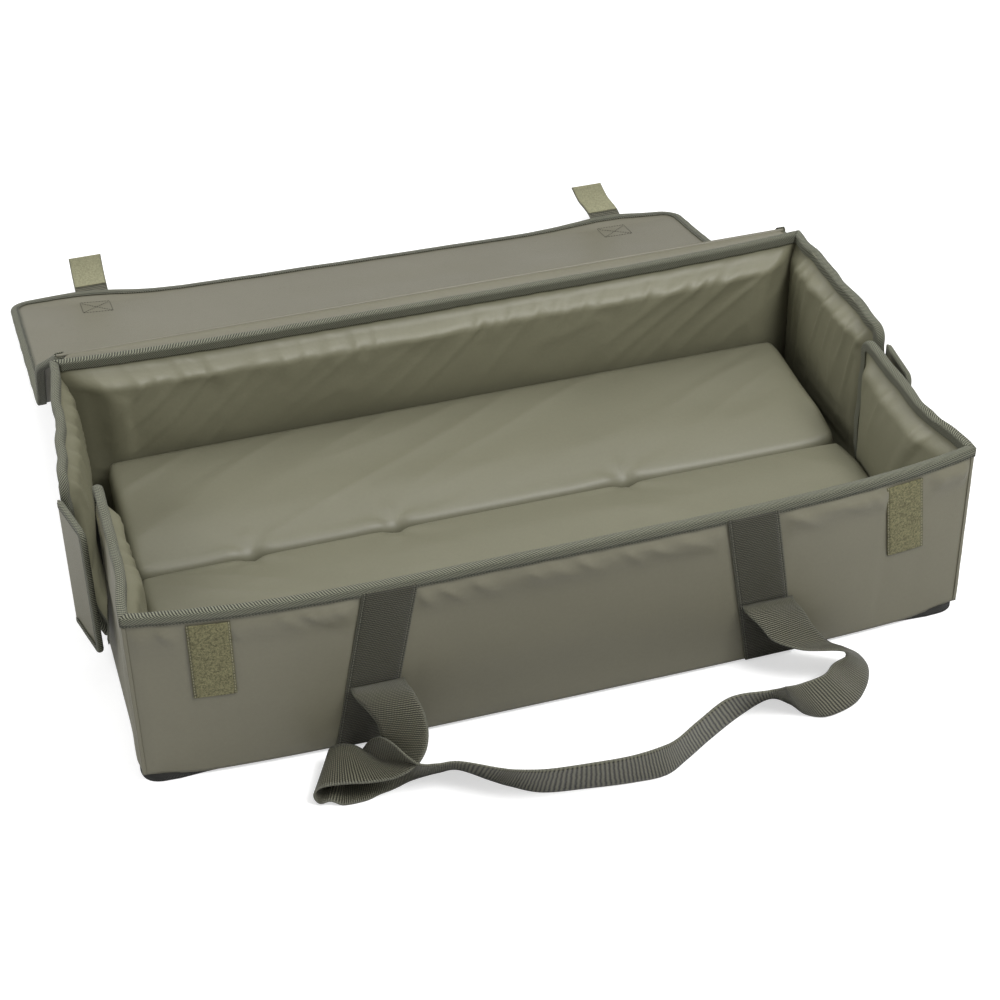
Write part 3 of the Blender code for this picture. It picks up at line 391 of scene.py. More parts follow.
@dataclass(frozen=True)
class Finish:
    """One cloth of the mat: its colour, weave and sewn lines."""

    title: str
    colour: Colour
    pattern: Pattern
    roughness: float
    pitch: float = 0.0008
    relief: float = 0.00010
    depth_of_tint: float = 0.25
    tone: float = 0.22
    slant: float = 0.9
    width: float = 0.050
    stitches: tuple[float, ...] = ()
    stitch_pitch: float = 0.0034
    thread: Colour = (0.052, 0.052, 0.038)
    selvedge: Colour = (0.20, 0.21, 0.15)

    def build(self, groups: EffectGroups) -> bpy.types.Material:
        """Make the material.

        Args:
            groups: the shared node groups.

        Returns:
            A material whose Principled shader takes the cloth's colour, gloss and weave.
        """
        material = bpy.data.materials.new(self.title)
        material.use_nodes = True
        w = Wiring(material.node_tree)
        shader = material.node_tree.nodes["Principled BSDF"]
        cloth = w.add("ShaderNodeUVMap", uv_map="Cloth").outputs[0]
        place = w.add("ShaderNodeTexCoord").outputs["Object"]

        tone = w.add("ShaderNodeGroup", node_tree=groups.get("tone"))
        w.feed(tone.inputs["Place"], place)
        tone.inputs["Amount"].default_value = self.tone
        height, tint, selvedge = self.weave(w, groups, cloth, place)
        # shade carries the weave's tint; on twill tape and ribbed webbing this is painted highlight on the
        # crests and painted shade in the grooves.
        shade = w.sum("MULTIPLY_ADD", tint, self.depth_of_tint, 1 - self.depth_of_tint * 0.55)
        shade = w.sum("MULTIPLY", w.sum("MAXIMUM", shade, 0.10), tone.outputs["Tone"])
        colour = w.mix(1.0, (*self.colour, 1.0), self.grey(w, shade), "MULTIPLY")
        if selvedge is not None:
            colour = w.mix(w.sum("MULTIPLY", selvedge, 0.75), colour, (*self.selvedge, 1.0))
        relief = w.sum("MULTIPLY", height, self.relief)
        for line in self.stitches:
            sewn = w.add("ShaderNodeGroup", node_tree=groups.get("stitches"))
            w.feed(sewn.inputs["Cloth"], cloth)
            sewn.inputs["Line"].default_value = line
            sewn.inputs["Pitch"].default_value = self.stitch_pitch
            # Painted shade: the colour is darkened in the dent beside each sewn line.
            colour = w.mix(w.sum("MULTIPLY", sewn.outputs["Dent"], 0.35), colour, (0.0, 0.0, 0.0, 1.0))
            colour = w.mix(sewn.outputs["Thread"], colour, (*self.thread, 1.0))
            relief = w.sum("MULTIPLY_ADD", sewn.outputs["Dent"], -0.0005, relief)
            relief = w.sum("MULTIPLY_ADD", sewn.outputs["Thread"], 0.0005, relief)
        w.feed(shader.inputs["Base Color"], colour)
        gloss = w.sum("MULTIPLY_ADD", tone.outputs["Rubbed"], 0.10, self.roughness)
        w.feed(shader.inputs["Roughness"], gloss)
        bump = w.add("ShaderNodeBump")
        bump.inputs["Strength"].default_value = 1.0
        bump.inputs["Distance"].default_value = 1.0
        w.feed(bump.inputs["Height"], relief)
        w.feed(shader.inputs["Normal"], bump.outputs[0])
        shader.inputs["Specular IOR Level"].default_value = 0.5 if self.pattern is Pattern.COATED else 0.25
        if self.pattern in (Pattern.LOOPED, Pattern.TWILL, Pattern.RIBBED):
            shader.inputs["Sheen Weight"].default_value = 0.06
            shader.inputs["Sheen Roughness"].default_value = 0.5
        return material

    def grey(self, w: Wiring, value: bpy.types.NodeSocket) -> bpy.types.NodeSocket:
        """Turn a number into a grey colour socket."""
        node = w.add("ShaderNodeCombineColor")
        for socket in node.inputs:
            w.feed(socket, value)
        return node.outputs[0]

    def weave(
        self, w: Wiring, groups: EffectGroups, cloth: bpy.types.NodeSocket, place: bpy.types.NodeSocket
    ) -> tuple[bpy.types.NodeSocket, bpy.types.NodeSocket, Optional[bpy.types.NodeSocket]]:
        """Place the weave's group.

        Args:
            w: the material's wiring.
            groups: the shared groups.
            cloth: the cloth's own coordinates, in metres.
            place: the object coordinates.

        Returns:
            Height, tint and, on a webbing, the selvedge mask.
        """
        names = {Pattern.TWILL: "twill", Pattern.RIBBED: "ribs", Pattern.LOOPED: "pile"}
        node = w.add("ShaderNodeGroup", node_tree=groups.get(names.get(self.pattern, "coated")))
        if "Cloth" in node.inputs:
            w.feed(node.inputs["Cloth"], cloth)
        if "Place" in node.inputs:
            w.feed(node.inputs["Place"], place)
        for name, value in (("Pitch", self.pitch), ("Slant", self.slant), ("Width", self.width)):
            if name in node.inputs:
                node.inputs[name].default_value = value
        edge = node.outputs["Selvedge"] if "Selvedge" in node.outputs else None
        return node.outputs["Height"], node.outputs["Tint"], edge


@dataclass(frozen=True)
class Palette:
    """The mat's finishes."""

    cover: Finish = Finish("coated_nylon_outer", (0.132, 0.125, 0.086), Pattern.COATED, 0.50, relief=0.00006)
    # Painted light: the lining is a lighter copy of the wall nylon, brightened to make up for the shade
    # inside the tray.
    lining: Finish = Finish(
        "coated_nylon_lining", (0.158, 0.153, 0.100), Pattern.COATED, 0.50, relief=0.00005
    )
    pad: Finish = Finish("coated_nylon_pad", (0.140, 0.136, 0.092), Pattern.COATED, 0.48, relief=0.00005)
    lid: Finish = Finish("coated_nylon_lid", (0.140, 0.133, 0.098), Pattern.COATED, 0.46, relief=0.00006)
    # The binding, webbing and strap have a strong depth_of_tint, which deepens the painted highlight and
    # painted shade of their ridges.
    binding: Finish = Finish(
        "binding_twill", (0.098, 0.100, 0.072), Pattern.TWILL, 0.7, pitch=0.0028, relief=0.0007,
        depth_of_tint=2.5, slant=1.3, stitches=(0.0018,)
    )
    webbing: Finish = Finish(
        "webbing_ribbed", (0.040, 0.039, 0.026), Pattern.RIBBED, 0.45, pitch=0.0022, relief=0.0007,
        depth_of_tint=2.4,
        stitches=(0.0026, 0.0474), thread=(0.12, 0.12, 0.085), selvedge=(0.075, 0.075, 0.052),
    )
    strap: Finish = Finish(
        "webbing_handle", (0.078, 0.076, 0.054), Pattern.RIBBED, 0.40, pitch=0.0022, relief=0.0008,
        depth_of_tint=2.4,
        selvedge=(0.12, 0.12, 0.09),
    )
    loop: Finish = Finish(
        "loop_tape", (0.135, 0.127, 0.066), Pattern.LOOPED, 0.9, relief=0.0005, depth_of_tint=0.9,
        stitches=(0.0012, 0.0368), thread=(0.24, 0.23, 0.15), width=0.038,
    )
    tab: Finish = Finish(
        "tab_tape", (0.225, 0.220, 0.140), Pattern.LOOPED, 0.9, relief=0.0003, depth_of_tint=0.35
    )
    base: Finish = Finish(
        "base_cloth", (0.018, 0.018, 0.015), Pattern.BOARD, 0.6,
        pitch=0.0014, relief=0.0003, depth_of_tint=0.6,
    )
    edging: Finish = Finish(
        "base_binding", (0.018, 0.018, 0.015), Pattern.TWILL, 0.7,
        pitch=0.0021, relief=0.0004, depth_of_tint=0.9,
    )
    thread: Finish = Finish(
        "sewing_thread", (0.030, 0.030, 0.022), Pattern.THREAD, 0.6, pitch=0.0004, relief=0.00008
    )


class Wardrobe:
    """Builds each finish once and dresses pieces in it."""

    def __init__(self, palette: Palette) -> None:
        """Keep the palette and start the shared groups."""
        self.palette = palette
        self.groups = EffectGroups()
        self.made: dict[str, bpy.types.Material] = {}

    def dress(self, piece: bpy.types.Object, finish: str) -> bpy.types.Object:
        """Give a piece its only material.

        Args:
            piece: the piece to dress.
            finish: the finish's name in the palette.

        Returns:
            The piece.
        """
        if finish not in self.made:
            self.made[finish] = getattr(self.palette, finish).build(self.groups)
        piece.data.materials.clear()
        piece.data.materials.append(self.made[finish])
        return piece


# Cloth


@dataclass
class Cloth:
    """A grid of cloth laid over a surface, open or as a closed shell with a back."""

    name: str
    columns: int
    rows: int
    shown: Place
    size: tuple[float, float]
    hidden: Optional[Place] = None
    flip: bool = False

    def build(self) -> bpy.types.Object:
        """Make the mesh and its object, at the origin.

        Returns:
            The new object, shaded smooth, with its UV map Cloth in metres.
        """
        bm = bmesh.new()
        uv = bm.loops.layers.uv.new("Cloth")
        across = bm.verts.layers.float.new("across")
        along = bm.verts.layers.float.new("along")
        bmesh.ops.create_grid(bm, x_segments=self.columns, y_segments=self.rows, size=0.5)
        for vert in bm.verts:
            vert[across] = vert.co.x + 0.5
            vert[along] = vert.co.y + 0.5
        front = list(bm.verts)
        if self.hidden is not None:
            made = bmesh.ops.extrude_face_region(bm, geom=list(bm.faces))
            for item in made["geom"]:
                if isinstance(item, bmesh.types.BMVert):
                    item.co = self.hidden(item[across], item[along])
        for vert in front:
            vert.co = self.shown(vert[across], vert[along])
        for face in bm.faces:
            for loop in face.loops:
                loop[uv].uv = (loop.vert[across] * self.size[0], loop.vert[along] * self.size[1])
        if self.hidden is not None:
            bmesh.ops.recalc_face_normals(bm, faces=bm.faces)
        elif self.flip:
            bmesh.ops.reverse_faces(bm, faces=bm.faces)
        return finish_mesh(self.name, bm)


def finish_mesh(name: str, bm: bmesh.types.BMesh) -> bpy.types.Object:
    """Turn a bmesh into a smooth object at the origin.

    Args:
        name: the piece's name.
        bm: the shape, which is freed.

    Returns:
        The new object.
    """
    mesh = bpy.data.meshes.new(name)
    bm.to_mesh(mesh)
    bm.free()
    mesh.shade_smooth()
    piece = bpy.data.objects.new(name, mesh)
    bpy.context.scene.collection.objects.link(piece)
    return piece


def merge_close(piece: bpy.types.Object, distance: float = 0.0001) -> None:
    """Merge the points of a closed form that meet, and turn its faces outwards again.

    Args:
        piece: the closed form.
        distance: how close points are when they merge.
    """
    bm = bmesh.new()
    bm.from_mesh(piece.data)
    bmesh.ops.remove_doubles(bm, verts=bm.verts, dist=distance)
    bmesh.ops.dissolve_degenerate(bm, edges=bm.edges, dist=distance * 0.1)
    bmesh.ops.recalc_face_normals(bm, faces=bm.faces)
    bm.to_mesh(piece.data)
    bm.free()
    piece.data.shade_smooth()


def thicken(piece: bpy.types.Object, thickness: float, offset: float = 0.0) -> bpy.types.Object:
    """Give an open cloth its thickness.

    Args:
        piece: the cloth.
        thickness: in metres.
        offset: -1 to grow inwards, 1 outwards.

    Returns:
        The piece.
    """
    shell = piece.modifiers.new("Thickness", "SOLIDIFY")
    shell.thickness = thickness
    shell.offset = offset
    shell.use_even_offset = False
    shell.use_rim = True
    return piece


@dataclass(frozen=True)
class Settling:
    """How one padded panel's cloth settles over its filling."""

    pressure: float = 1.5
    slack: tuple[float, float, float] = (1.0, 1.0, 1.0)
    cap: float = 0.005
    bending: float = 0.4


@dataclass
class ClothRoom:
    """Runs one short cloth simulation for all padded panels together."""

    frames: int = 20
    waiting: list[tuple[bpy.types.Object, Settling, Callable[[Vector], float]]] = field(default_factory=list)

    def add(self, piece: bpy.types.Object, settling: Settling, sewn: Callable[[Vector], float]) -> None:
        """Queue a panel.

        Args:
            piece: the panel, at the origin.
            settling: its pressure, slack and cap.
            sewn: how firmly a point is held, from 0 to 1.
        """
        self.waiting.append((piece, settling, sewn))

    def prepare(self, piece: bpy.types.Object, settling: Settling, sewn: Callable[[Vector], float]) -> None:
        """Put Blender's cloth on one panel.

        Args:
            piece: the panel.
            settling: how it settles.
            sewn: how firmly it is held at a place.
        """
        group = piece.vertex_groups.new(name="sewn")
        for vert in piece.data.vertices:
            group.add([vert.index], sewn(vert.co), "REPLACE")
        piece.shape_key_add(name="Basis")
        cut = piece.shape_key_add(name="Cut")
        scale = Vector(settling.slack)
        for point in cut.data:
            point.co = point.co * scale
        cloth = piece.modifiers.new("Cloth", "CLOTH")
        options = cloth.settings
        options.quality = 6
        options.mass = 0.15
        options.tension_stiffness = 12
        options.compression_stiffness = 12
        options.shear_stiffness = 6
        options.bending_stiffness = settling.bending
        options.air_damping = 4
        options.vertex_group_mass = "sewn"
        options.rest_shape_key = cut
        options.use_pressure = settling.pressure > 0
        options.uniform_pressure_force = settling.pressure
        options.effector_weights.gravity = 0
        cloth.collision_settings.use_collision = False
        cloth.point_cache.frame_end = self.frames

    def run(self) -> None:
        """Settle every queued panel, cap how far its points moved, and keep the result."""
        if not self.waiting:
            return
        scene = bpy.context.scene
        for item in self.waiting:
            self.prepare(*item)
        for step in range(1, self.frames + 1):
            scene.frame_set(step)
        graph = bpy.context.evaluated_depsgraph_get()
        for piece, settling, _ in self.waiting:
            count = len(piece.data.vertices)
            start = np.empty(count * 3)
            piece.data.vertices.foreach_get("co", start)
            end = np.empty(count * 3)
            settled = piece.evaluated_get(graph).to_mesh()
            settled.vertices.foreach_get("co", end)
            move = (end - start).reshape(-1, 3)
            length = np.maximum(np.linalg.norm(move, axis=1), 1e-9)
            length[~np.isfinite(length)] = 1e9
            held = settling.cap * np.tanh(length / settling.cap)
            move = np.nan_to_num(move * (held / length)[:, None])
            end = start + move.ravel()
            piece.evaluated_get(graph).to_mesh_clear()
            piece.modifiers.remove(piece.modifiers["Cloth"])
            piece.shape_key_clear()
            piece.data.vertices.foreach_set("co", end)
            piece.data.update()
            LOG.info("settled %s, farthest %.1f mm", piece.name, 1000 * held.max())
        scene.frame_set(1)
        self.waiting.clear()


# Tray


@dataclass(frozen=True)
class Tray:
    """Sizes of the tray and the surfaces of its walls, as the frame has them."""

    length: float = 0.800
    depth: float = 0.420
    height: float = 0.195
    pad_top: float = 0.072
    gap: float = 0.0004
    cover: float = 0.0030
    long_wall: float = 0.022
    end_wall: float = 0.014
    rim: float = 0.0056
    pinch: float = 0.038
    lining_pinch: float = 0.020
    rim_bow: float = 0.026
    foot_bow: float = 0.012
    rear_bow: float = 0.011
    flare_left: float = 0.021
    flare_right: float = 0.007
    run_clear: float = 0.0008
    tape: float = 0.0016
    tape_reach: float = 0.0108
    rim_turn: float = 0.018
    split: float = 0.0016
    foot: float = 0.0044
    foot_rise: float = 0.0060
    foot_run: float = 0.060
    webbing: float = 0.050
    webbing_at: float = 0.172
    loop_at: float = 0.332

    def hem(self, away: float) -> float:
        """Return the height of the wall cloth's foot at a distance from a corner."""
        return self.foot + self.foot_rise * (1 - smooth(away, self.foot_run))

    @property
    def knee(self) -> float:
        """Return the height below which the end walls stand upright."""
        return self.pad_top * 0.9

    @property
    def swept(self) -> float:
        """Return how far from the fold line the front half's walls sweep."""
        return self.height - self.pad_top + 2 * self.run_clear

    @property
    def head(self) -> float:
        """Return the height of a wall's cloth under its tape."""
        return self.height - self.tape - self.gap

    def bulge(self, x: float) -> float:
        """Return how far a long wall bows at x, as a share."""
        return 1 - min(1.0, abs(2 * x / self.length)) ** 4

    def front_face(self, x: float, z: float) -> float:
        """Return y of the front wall's outer face."""
        bow = self.foot_bow + (self.rim_bow - self.foot_bow) * z / self.height
        return -(self.depth / 2 + self.bulge(x) * bow)

    def rear_face(self, x: float, z: float) -> float:
        """Return y of the rear wall's outer face."""
        return self.depth / 2 - self.bulge(x) * self.rear_bow * (z / self.height) ** 2

    def flare(self, side: int) -> float:
        """Return how far a rear half wall leans out beside the split."""
        return self.flare_right if side > 0 else self.flare_left

    def rear_end_face(self, side: int, y: float, z: float) -> float:
        """Return x of a rear half wall's outer face."""
        lean = self.flare(side) * (1 - y / (self.depth / 2)) * min(1.0, z / self.knee)
        return side * (self.length / 2 + lean)

    def front_end_face(self, side: int, y: float, z: float) -> float:
        """Return x of a front half wall's outer face."""
        half = self.depth / 2
        inset = self.end_wall + self.tape + self.gap + self.run_clear
        inset -= self.flare(side) * (1 - self.swept / half)
        reach = smooth((y + half) / (half - self.swept))
        return side * (self.length / 2 - inset * reach * min(1.0, z / self.knee))

    def under_strap(self, x: float) -> float:
        """Return 1 where a webbing or patch presses on a long wall and 0 away from it."""
        pressed = 0.0
        for middle, half in ((self.webbing_at, self.webbing / 2), (self.loop_at, 0.019)):
            pressed = max(pressed, 1 - smooth((abs(abs(x) - middle) - half) / 0.012))
        return pressed


def tape_profile(share: float, tray: Tray, rim: float, reach: float) -> tuple[float, float]:
    """Follow a folded tape's section round an edge.

    Args:
        share: 0 at the outer leg's end and 1 at the inner leg's end.
        tray: the tray's sizes.
        rim: thickness of the cloth inside the fold.
        reach: how far the tape reaches in from the edge.

    Returns:
        Depth from the outer face and distance from the edge, for the tape's middle.
    """
    out = -(tray.gap + tray.tape * 0.5)
    far = rim - out
    radius = (far - out) / 2
    leg = reach - radius * 0.55
    arc = math.pi * radius * 0.78
    total = 2 * leg + arc
    run = share * total
    if run < leg:
        return out, reach - run
    if run > leg + arc:
        return far, reach - (total - run)
    angle = math.pi * (run - leg) / arc
    middle = (out + far) / 2
    return middle - radius * math.cos(angle), reach - leg - radius * 0.55 * math.sin(angle) + 0.0006


@dataclass
class LongWall:
    """The front or rear wall: padded cloth, its lining and the binding on its rim."""

    tray: Tray
    front: bool
    seed: float
    belly: float = 0.0080

    @property
    def title(self) -> str:
        """Return front or rear."""
        return "front" if self.front else "rear"

    @property
    def body(self) -> str:
        """Return the body that the wall rides on."""
        return "front_half" if self.front else "rear_half"

    def point(self, share: float, depth: float, z: float) -> Vector:
        """Return a place at a share of the length, a depth from the outer face and a height."""
        half = self.tray.length / 2 - depth - self.tray.gap * 0.75
        x = -half + 2 * half * share
        if self.front:
            return Vector((x, self.tray.front_face(x, z) + depth, z))
        return Vector((x, self.tray.rear_face(x, z) - depth, z))

    def thickness(self, share: float, z: float) -> float:
        """Return the padded wall's thickness at a place.

        Args:
            share: share along the wall.
            z: height.

        Returns:
            The thickness.
        """
        tray = self.tray
        x = abs(2 * share - 1) * tray.length / 2
        body = tray.end_wall + (tray.long_wall - tray.end_wall) * smooth((tray.length / 2 - x) / tray.pinch)
        head = smooth((tray.height - tray.tape_reach - z) / tray.lining_pinch)
        corner = roll_edge(tray.length / 2 - x - 0.004, 0.012) * 0.8
        return max(tray.cover + 2 * tray.gap, tray.rim + (body - tray.rim) * head - corner * head)

    def cover_face(self, s: float, t: float) -> Vector:
        """Return the outer face, puckered under the binding and drawn in under the straps.

        Args:
            s: share along the wall.
            t: share of its height.

        Returns:
            The place.
        """
        tray = self.tray
        foot = tray.hem((0.5 - abs(s - 0.5)) * tray.length)
        z = foot + (tray.head - foot) * t
        x = (s - 0.5) * tray.length
        below = tray.height - tray.tape_reach - z
        free = smooth(below / 0.010) * smooth((z - foot) / 0.015) * smooth((0.5 - abs(s - 0.5)) / 0.02)
        loose = free * (1 - 0.9 * tray.under_strap(x))
        puff = 0.0030 * near(below, 0.014, 0.014) + 0.0008
        ripple = 0.0034 * near(below, 0.007, 0.016) * (crest((x + 0.9 * z) / 0.024, z / 0.1, self.seed) - 0.3)
        slow = 0.0016 * grain(x / 0.10, z / 0.07, self.seed + 3)
        if not self.front:
            puff *= 0.6
        return self.point(s, -max(-0.0008, (puff + ripple + slow)) * loose, z)

    def lining_face(self, s: float, t: float) -> Vector:
        """Return the inner face, rounded under the rim and softly folded.

        Args:
            s: share along the wall.
            t: share of its height.

        Returns:
            The place.
        """
        tray = self.tray
        z = tray.foot + (tray.head - tray.foot) * t
        x = (s - 0.5) * tray.length
        below = tray.height - tray.tape_reach - z
        free = smooth(below / 0.014) * smooth((0.5 - abs(s - 0.5)) / 0.03) * smooth((z - tray.foot) / 0.03)
        lean = -1.1 if self.front else 1.1
        fold = 0.0017 * (crest((x - lean * z) / 0.050, (x + z) / 0.30, self.seed) - 0.4)
        fold *= smooth(0.125 - below, 0.10)
        pucker = 0.0028 * near(below, 0.010, 0.015)
        pucker *= crest((x - lean * 0.4 * z) / 0.026, z / 0.2, self.seed + 5) - 0.35
        slow = 0.0028 * grain(x / 0.13, z / 0.12, self.seed + 9)
        belly = self.belly * math.sin(math.pi * min(1.0, max(0.0, below) / 0.125)) ** 0.8
        return self.point(s, self.thickness(s, z) + (fold + pucker + slow + belly) * free, z)

    def back_face(self, s: float, t: float) -> Vector:
        """Return the lining's hidden side, against the cover."""
        z = self.tray.foot + (self.tray.head - self.tray.foot) * t
        return self.point(s, self.tray.cover + 1.5 * self.tray.gap, z)

    def cover_back(self, s: float, t: float) -> Vector:
        """Return the cover's hidden side."""
        foot = self.tray.hem((0.5 - abs(s - 0.5)) * self.tray.length)
        z = foot + (self.tray.head - foot) * t
        return self.point(s, self.tray.cover, z)

    def binding_face(self, s: float, t: float) -> Vector:
        """Return the middle of the binding's cloth along the rim.

        Args:
            s: share along the rim.
            t: share around it.

        Returns:
            The place.
        """
        tray = self.tray
        depth, reach = tape_profile(t, tray, tray.rim, tray.tape_reach)
        x = (s - 0.5) * tray.length
        wave = 0.0005 * grain(x / 0.021, t * 2.1, self.seed + 11) * (1 - abs(2 * t - 1) * 0.3)
        hem = 0.0007 * grain(x / 0.013, 0.4 + 5 * (t > 0.5), self.seed + 13) * abs(2 * t - 1) ** 3
        outward = math.copysign(1, t - 0.5)
        return self.point(s, depth + outward * hem, tray.height - max(0.0, reach) + wave)

    def build(self, wardrobe: Wardrobe, room: ClothRoom) -> list[bpy.types.Object]:
        """Make the wall's three pieces.

        Args:
            wardrobe: dresses each piece.
            room: settles the lining.

        Returns:
            The cover, the lining and the binding.
        """
        tray = self.tray
        tall = tray.head - tray.foot
        size = (tray.length, tall)
        lining = Cloth(f"{self.title}_wall_lining", 240, 54, self.lining_face, size, self.back_face).build()
        room.add(lining, Settling(1.2, (1.025, 1.0, 1.035), 0.006), self.sewn)
        wardrobe.dress(lining, "lining")
        cover = Cloth(f"{self.title}_wall_cover", 260, 56, self.cover_face, size, self.cover_back).build()
        wardrobe.dress(cover, "cover")
        around = 2 * tray.tape_reach + tray.rim * 1.2
        size = (tray.length, around)
        tape = Cloth(f"{self.title}_rim_binding", 420, 22, self.binding_face, size, flip=self.front).build()
        thicken(tape, 0.0011)
        wardrobe.dress(tape, "binding")
        for piece, node in ((lining, "wall_lining_"), (cover, "wall_cover_"), (tape, "rim_tape_")):
            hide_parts(node + self.title)
        return [lining, cover, tape]

    def sewn(self, place: Vector) -> float:
        """Return how firmly the lining is held at a point.

        Args:
            place: a place on the lining.

        Returns:
            From 0, free, to 1, held.
        """
        tray = self.tray
        face = self.tray.front_face if self.front else self.tray.rear_face
        inside = abs(face(place.x, place.z) - place.y)
        if inside < tray.rim * 0.75:
            return 1.0
        top = 1 - smooth((tray.height - tray.tape_reach - place.z) / 0.006)
        ends = 1 - smooth((tray.length / 2 - abs(place.x) - tray.end_wall) / 0.008)
        foot = 1 - smooth((place.z - tray.foot - 0.012) / 0.03)
        return max(top, ends, foot)


@dataclass
class HalfEnd:
    """Half of an end wall, from its corner to the split over the fold line."""

    tray: Tray
    side: int
    front: bool
    seed: float
    belly: float = 0.0095
    swell: float = 0.0020
    seam_leg: float = 0.0026
    pressed: float = 0.4

    @property
    def title(self) -> str:
        """Return the half's name, such as front_left."""
        return ("front" if self.front else "rear") + ("_right" if self.side > 0 else "_left")

    @property
    def body(self) -> str:
        """Return the body that the half wall rides on."""
        return "front_half" if self.front else "rear_half"

    @property
    def sign(self) -> int:
        """Return the side of the fold line that the half stands on."""
        return -1 if self.front else 1

    def corner_y(self, depth: float, z: float) -> float:
        """Return y of the mitre with the long wall at a depth."""
        x = self.tray.length / 2 - depth
        if self.front:
            return self.tray.front_face(x, z) + depth + self.tray.gap * 0.75
        return self.tray.rear_face(x, z) - depth - self.tray.gap * 0.75

    def at(self, y: float, depth: float, z: float) -> Vector:
        """Return a place at y, a depth from the outer face and a height."""
        face = self.tray.front_end_face if self.front else self.tray.rear_end_face
        return Vector((face(self.side, y, z) - self.side * depth, y, z))

    def head(self, y: float, edge: float) -> float:
        """Return the wall's height at y, which turns down beside the split.

        Args:
            y: distance from the fold line.
            edge: how far the cloth stays inside the edge.

        Returns:
            The height.
        """
        tray = self.tray
        radius = tray.rim_turn - edge
        into = tray.rim_turn - (abs(y) - tray.split)
        if into <= 0:
            return tray.height - tray.rim_turn + radius
        return tray.height - tray.rim_turn + math.sqrt(max(0.0, radius * radius - into * into))

    def thickness(self, y: float, z: float) -> float:
        """Return the padded half wall's thickness at a place.

        Args:
            y: distance from the fold line.
            z: height.

        Returns:
            The thickness.
        """
        tray = self.tray
        head = smooth((tray.height - tray.tape_reach - z) / tray.lining_pinch)
        beside = smooth((abs(y) - tray.split - tray.tape_reach) / tray.lining_pinch)
        corner = roll_edge(tray.depth / 2 - abs(y) - 0.004, 0.014) * 0.75
        full = tray.rim + (tray.end_wall - tray.rim) * head * beside - corner * head
        return max(tray.cover + 2 * tray.gap, full)

    def spot(self, s: float, t: float, depth: Callable[[float, float], float]) -> Vector:
        """Map a share along the wall and a share up it to a place.

        Args:
            s: 0 at the corner and 1 at the split.
            t: 0 at the foot and 1 at the head.
            depth: gives the depth for y and z.

        Returns:
            The place on that layer.
        """
        tray = self.tray
        edge = tray.tape + tray.gap
        last = tray.split + edge
        first = tray.depth / 2
        y = self.sign * (first + (last - first) * s)
        foot = tray.hem(first - abs(y))
        z = foot + (self.head(y, edge) - foot) * t
        deep = depth(y, z)
        start = self.corner_y(deep, z)
        y = start + (self.sign * last - start) * s
        z = foot + (self.head(y, edge) - foot) * t
        return self.at(y, depth(y, z), z)

    def cover_depth(self, y: float, z: float) -> float:
        """Return the outer face's depth, a little proud and wrinkled near the corner.

        Args:
            y: distance from the fold line.
            z: height.

        Returns:
            The depth, outwards below 0.
        """
        tray = self.tray
        below = tray.height - tray.tape_reach - z
        beside = abs(y) - tray.split - tray.tape_reach
        corner = tray.depth / 2 - abs(y)
        free = smooth(below / 0.010) * smooth(beside / 0.012)
        free = free * smooth((z - tray.foot) / 0.015) * smooth(corner / 0.012)
        ripple = 0.0012 * grain(y / 0.016, z / 0.07, self.seed) * near(below, 0.010, 0.03)
        slow = 0.0018 * grain(y / 0.07, z / 0.05, self.seed + 2)
        up = min(1.0, max(0.0, (z - tray.foot) / (tray.head - tray.foot)))
        round_out = self.swell * math.sin(math.pi * up) ** 0.6
        return -max(-0.0006, 0.0014 + ripple + slow + round_out) * free

    def lining_depth(self, y: float, z: float) -> float:
        """Return the inner face's depth, with upright folds.

        Args:
            y: distance from the fold line.
            z: height.

        Returns:
            The depth from the outer face.
        """
        tray = self.tray
        below = tray.height - tray.tape_reach - z
        beside = abs(y) - tray.split - tray.tape_reach
        corner = tray.depth / 2 - abs(y) - 0.012
        free = smooth(below / 0.012) * smooth(beside / 0.014)
        free = free * smooth((z - tray.foot) / 0.03) * smooth(corner / 0.02)
        folds = 0.0028 * (crest((y + 0.25 * z) / 0.024, z / 0.20, self.seed + 7) - 0.35)
        folds *= near(below, 0.02, 0.07)
        slow = 0.0026 * grain(y / 0.06, z / 0.09, self.seed + 4)
        across = (abs(y) - tray.split - tray.tape_reach) / (tray.depth / 2 - 0.024)
        lens = math.sin(math.pi * min(1.0, max(0.0, across))) ** 0.7
        lens = lens * math.sin(math.pi * min(1.0, max(0.0, below) / 0.150)) ** 0.7
        return self.thickness(y, z) + (folds + slow + self.belly * lens) * free

    def cover_face(self, s: float, t: float) -> Vector:
        """Return the outer face."""
        return self.spot(s, t, self.cover_depth)

    def cover_back(self, s: float, t: float) -> Vector:
        """Return the cover's hidden side."""
        return self.spot(s, t, lambda y, z: self.tray.cover)

    def lining_face(self, s: float, t: float) -> Vector:
        """Return the inner face."""
        return self.spot(s, t, self.lining_depth)

    def lining_back(self, s: float, t: float) -> Vector:
        """Return the lining's hidden side."""
        return self.spot(s, t, lambda y, z: self.tray.cover + 1.5 * self.tray.gap)

    def edge(self, run: float) -> tuple[float, float, float, float]:
        """Follow the half wall's free edge.

        Args:
            run: distance from the corner along the rim, round its turn and down the split.

        Returns:
            Distance from the fold line, height, and the inward direction in those two.
        """
        tray = self.tray
        level = tray.depth / 2 - tray.split - tray.rim_turn
        arc = math.pi / 2 * tray.rim_turn
        if run < level:
            return tray.depth / 2 - run, tray.height, 0.0, -1.0
        if run < level + arc:
            angle = (run - level) / tray.rim_turn
            y = tray.split + tray.rim_turn - tray.rim_turn * math.sin(angle)
            z = tray.height - tray.rim_turn + tray.rim_turn * math.cos(angle)
            return y, z, math.sin(angle), -math.cos(angle)
        down = run - level - arc
        return tray.split, tray.height - tray.rim_turn - down, 1.0, 0.0

    @property
    def edge_length(self) -> float:
        """Return the length of the free edge."""
        tray = self.tray
        level = tray.depth / 2 - tray.split - tray.rim_turn
        return level + math.pi / 2 * tray.rim_turn + tray.height - tray.rim_turn - tray.foot

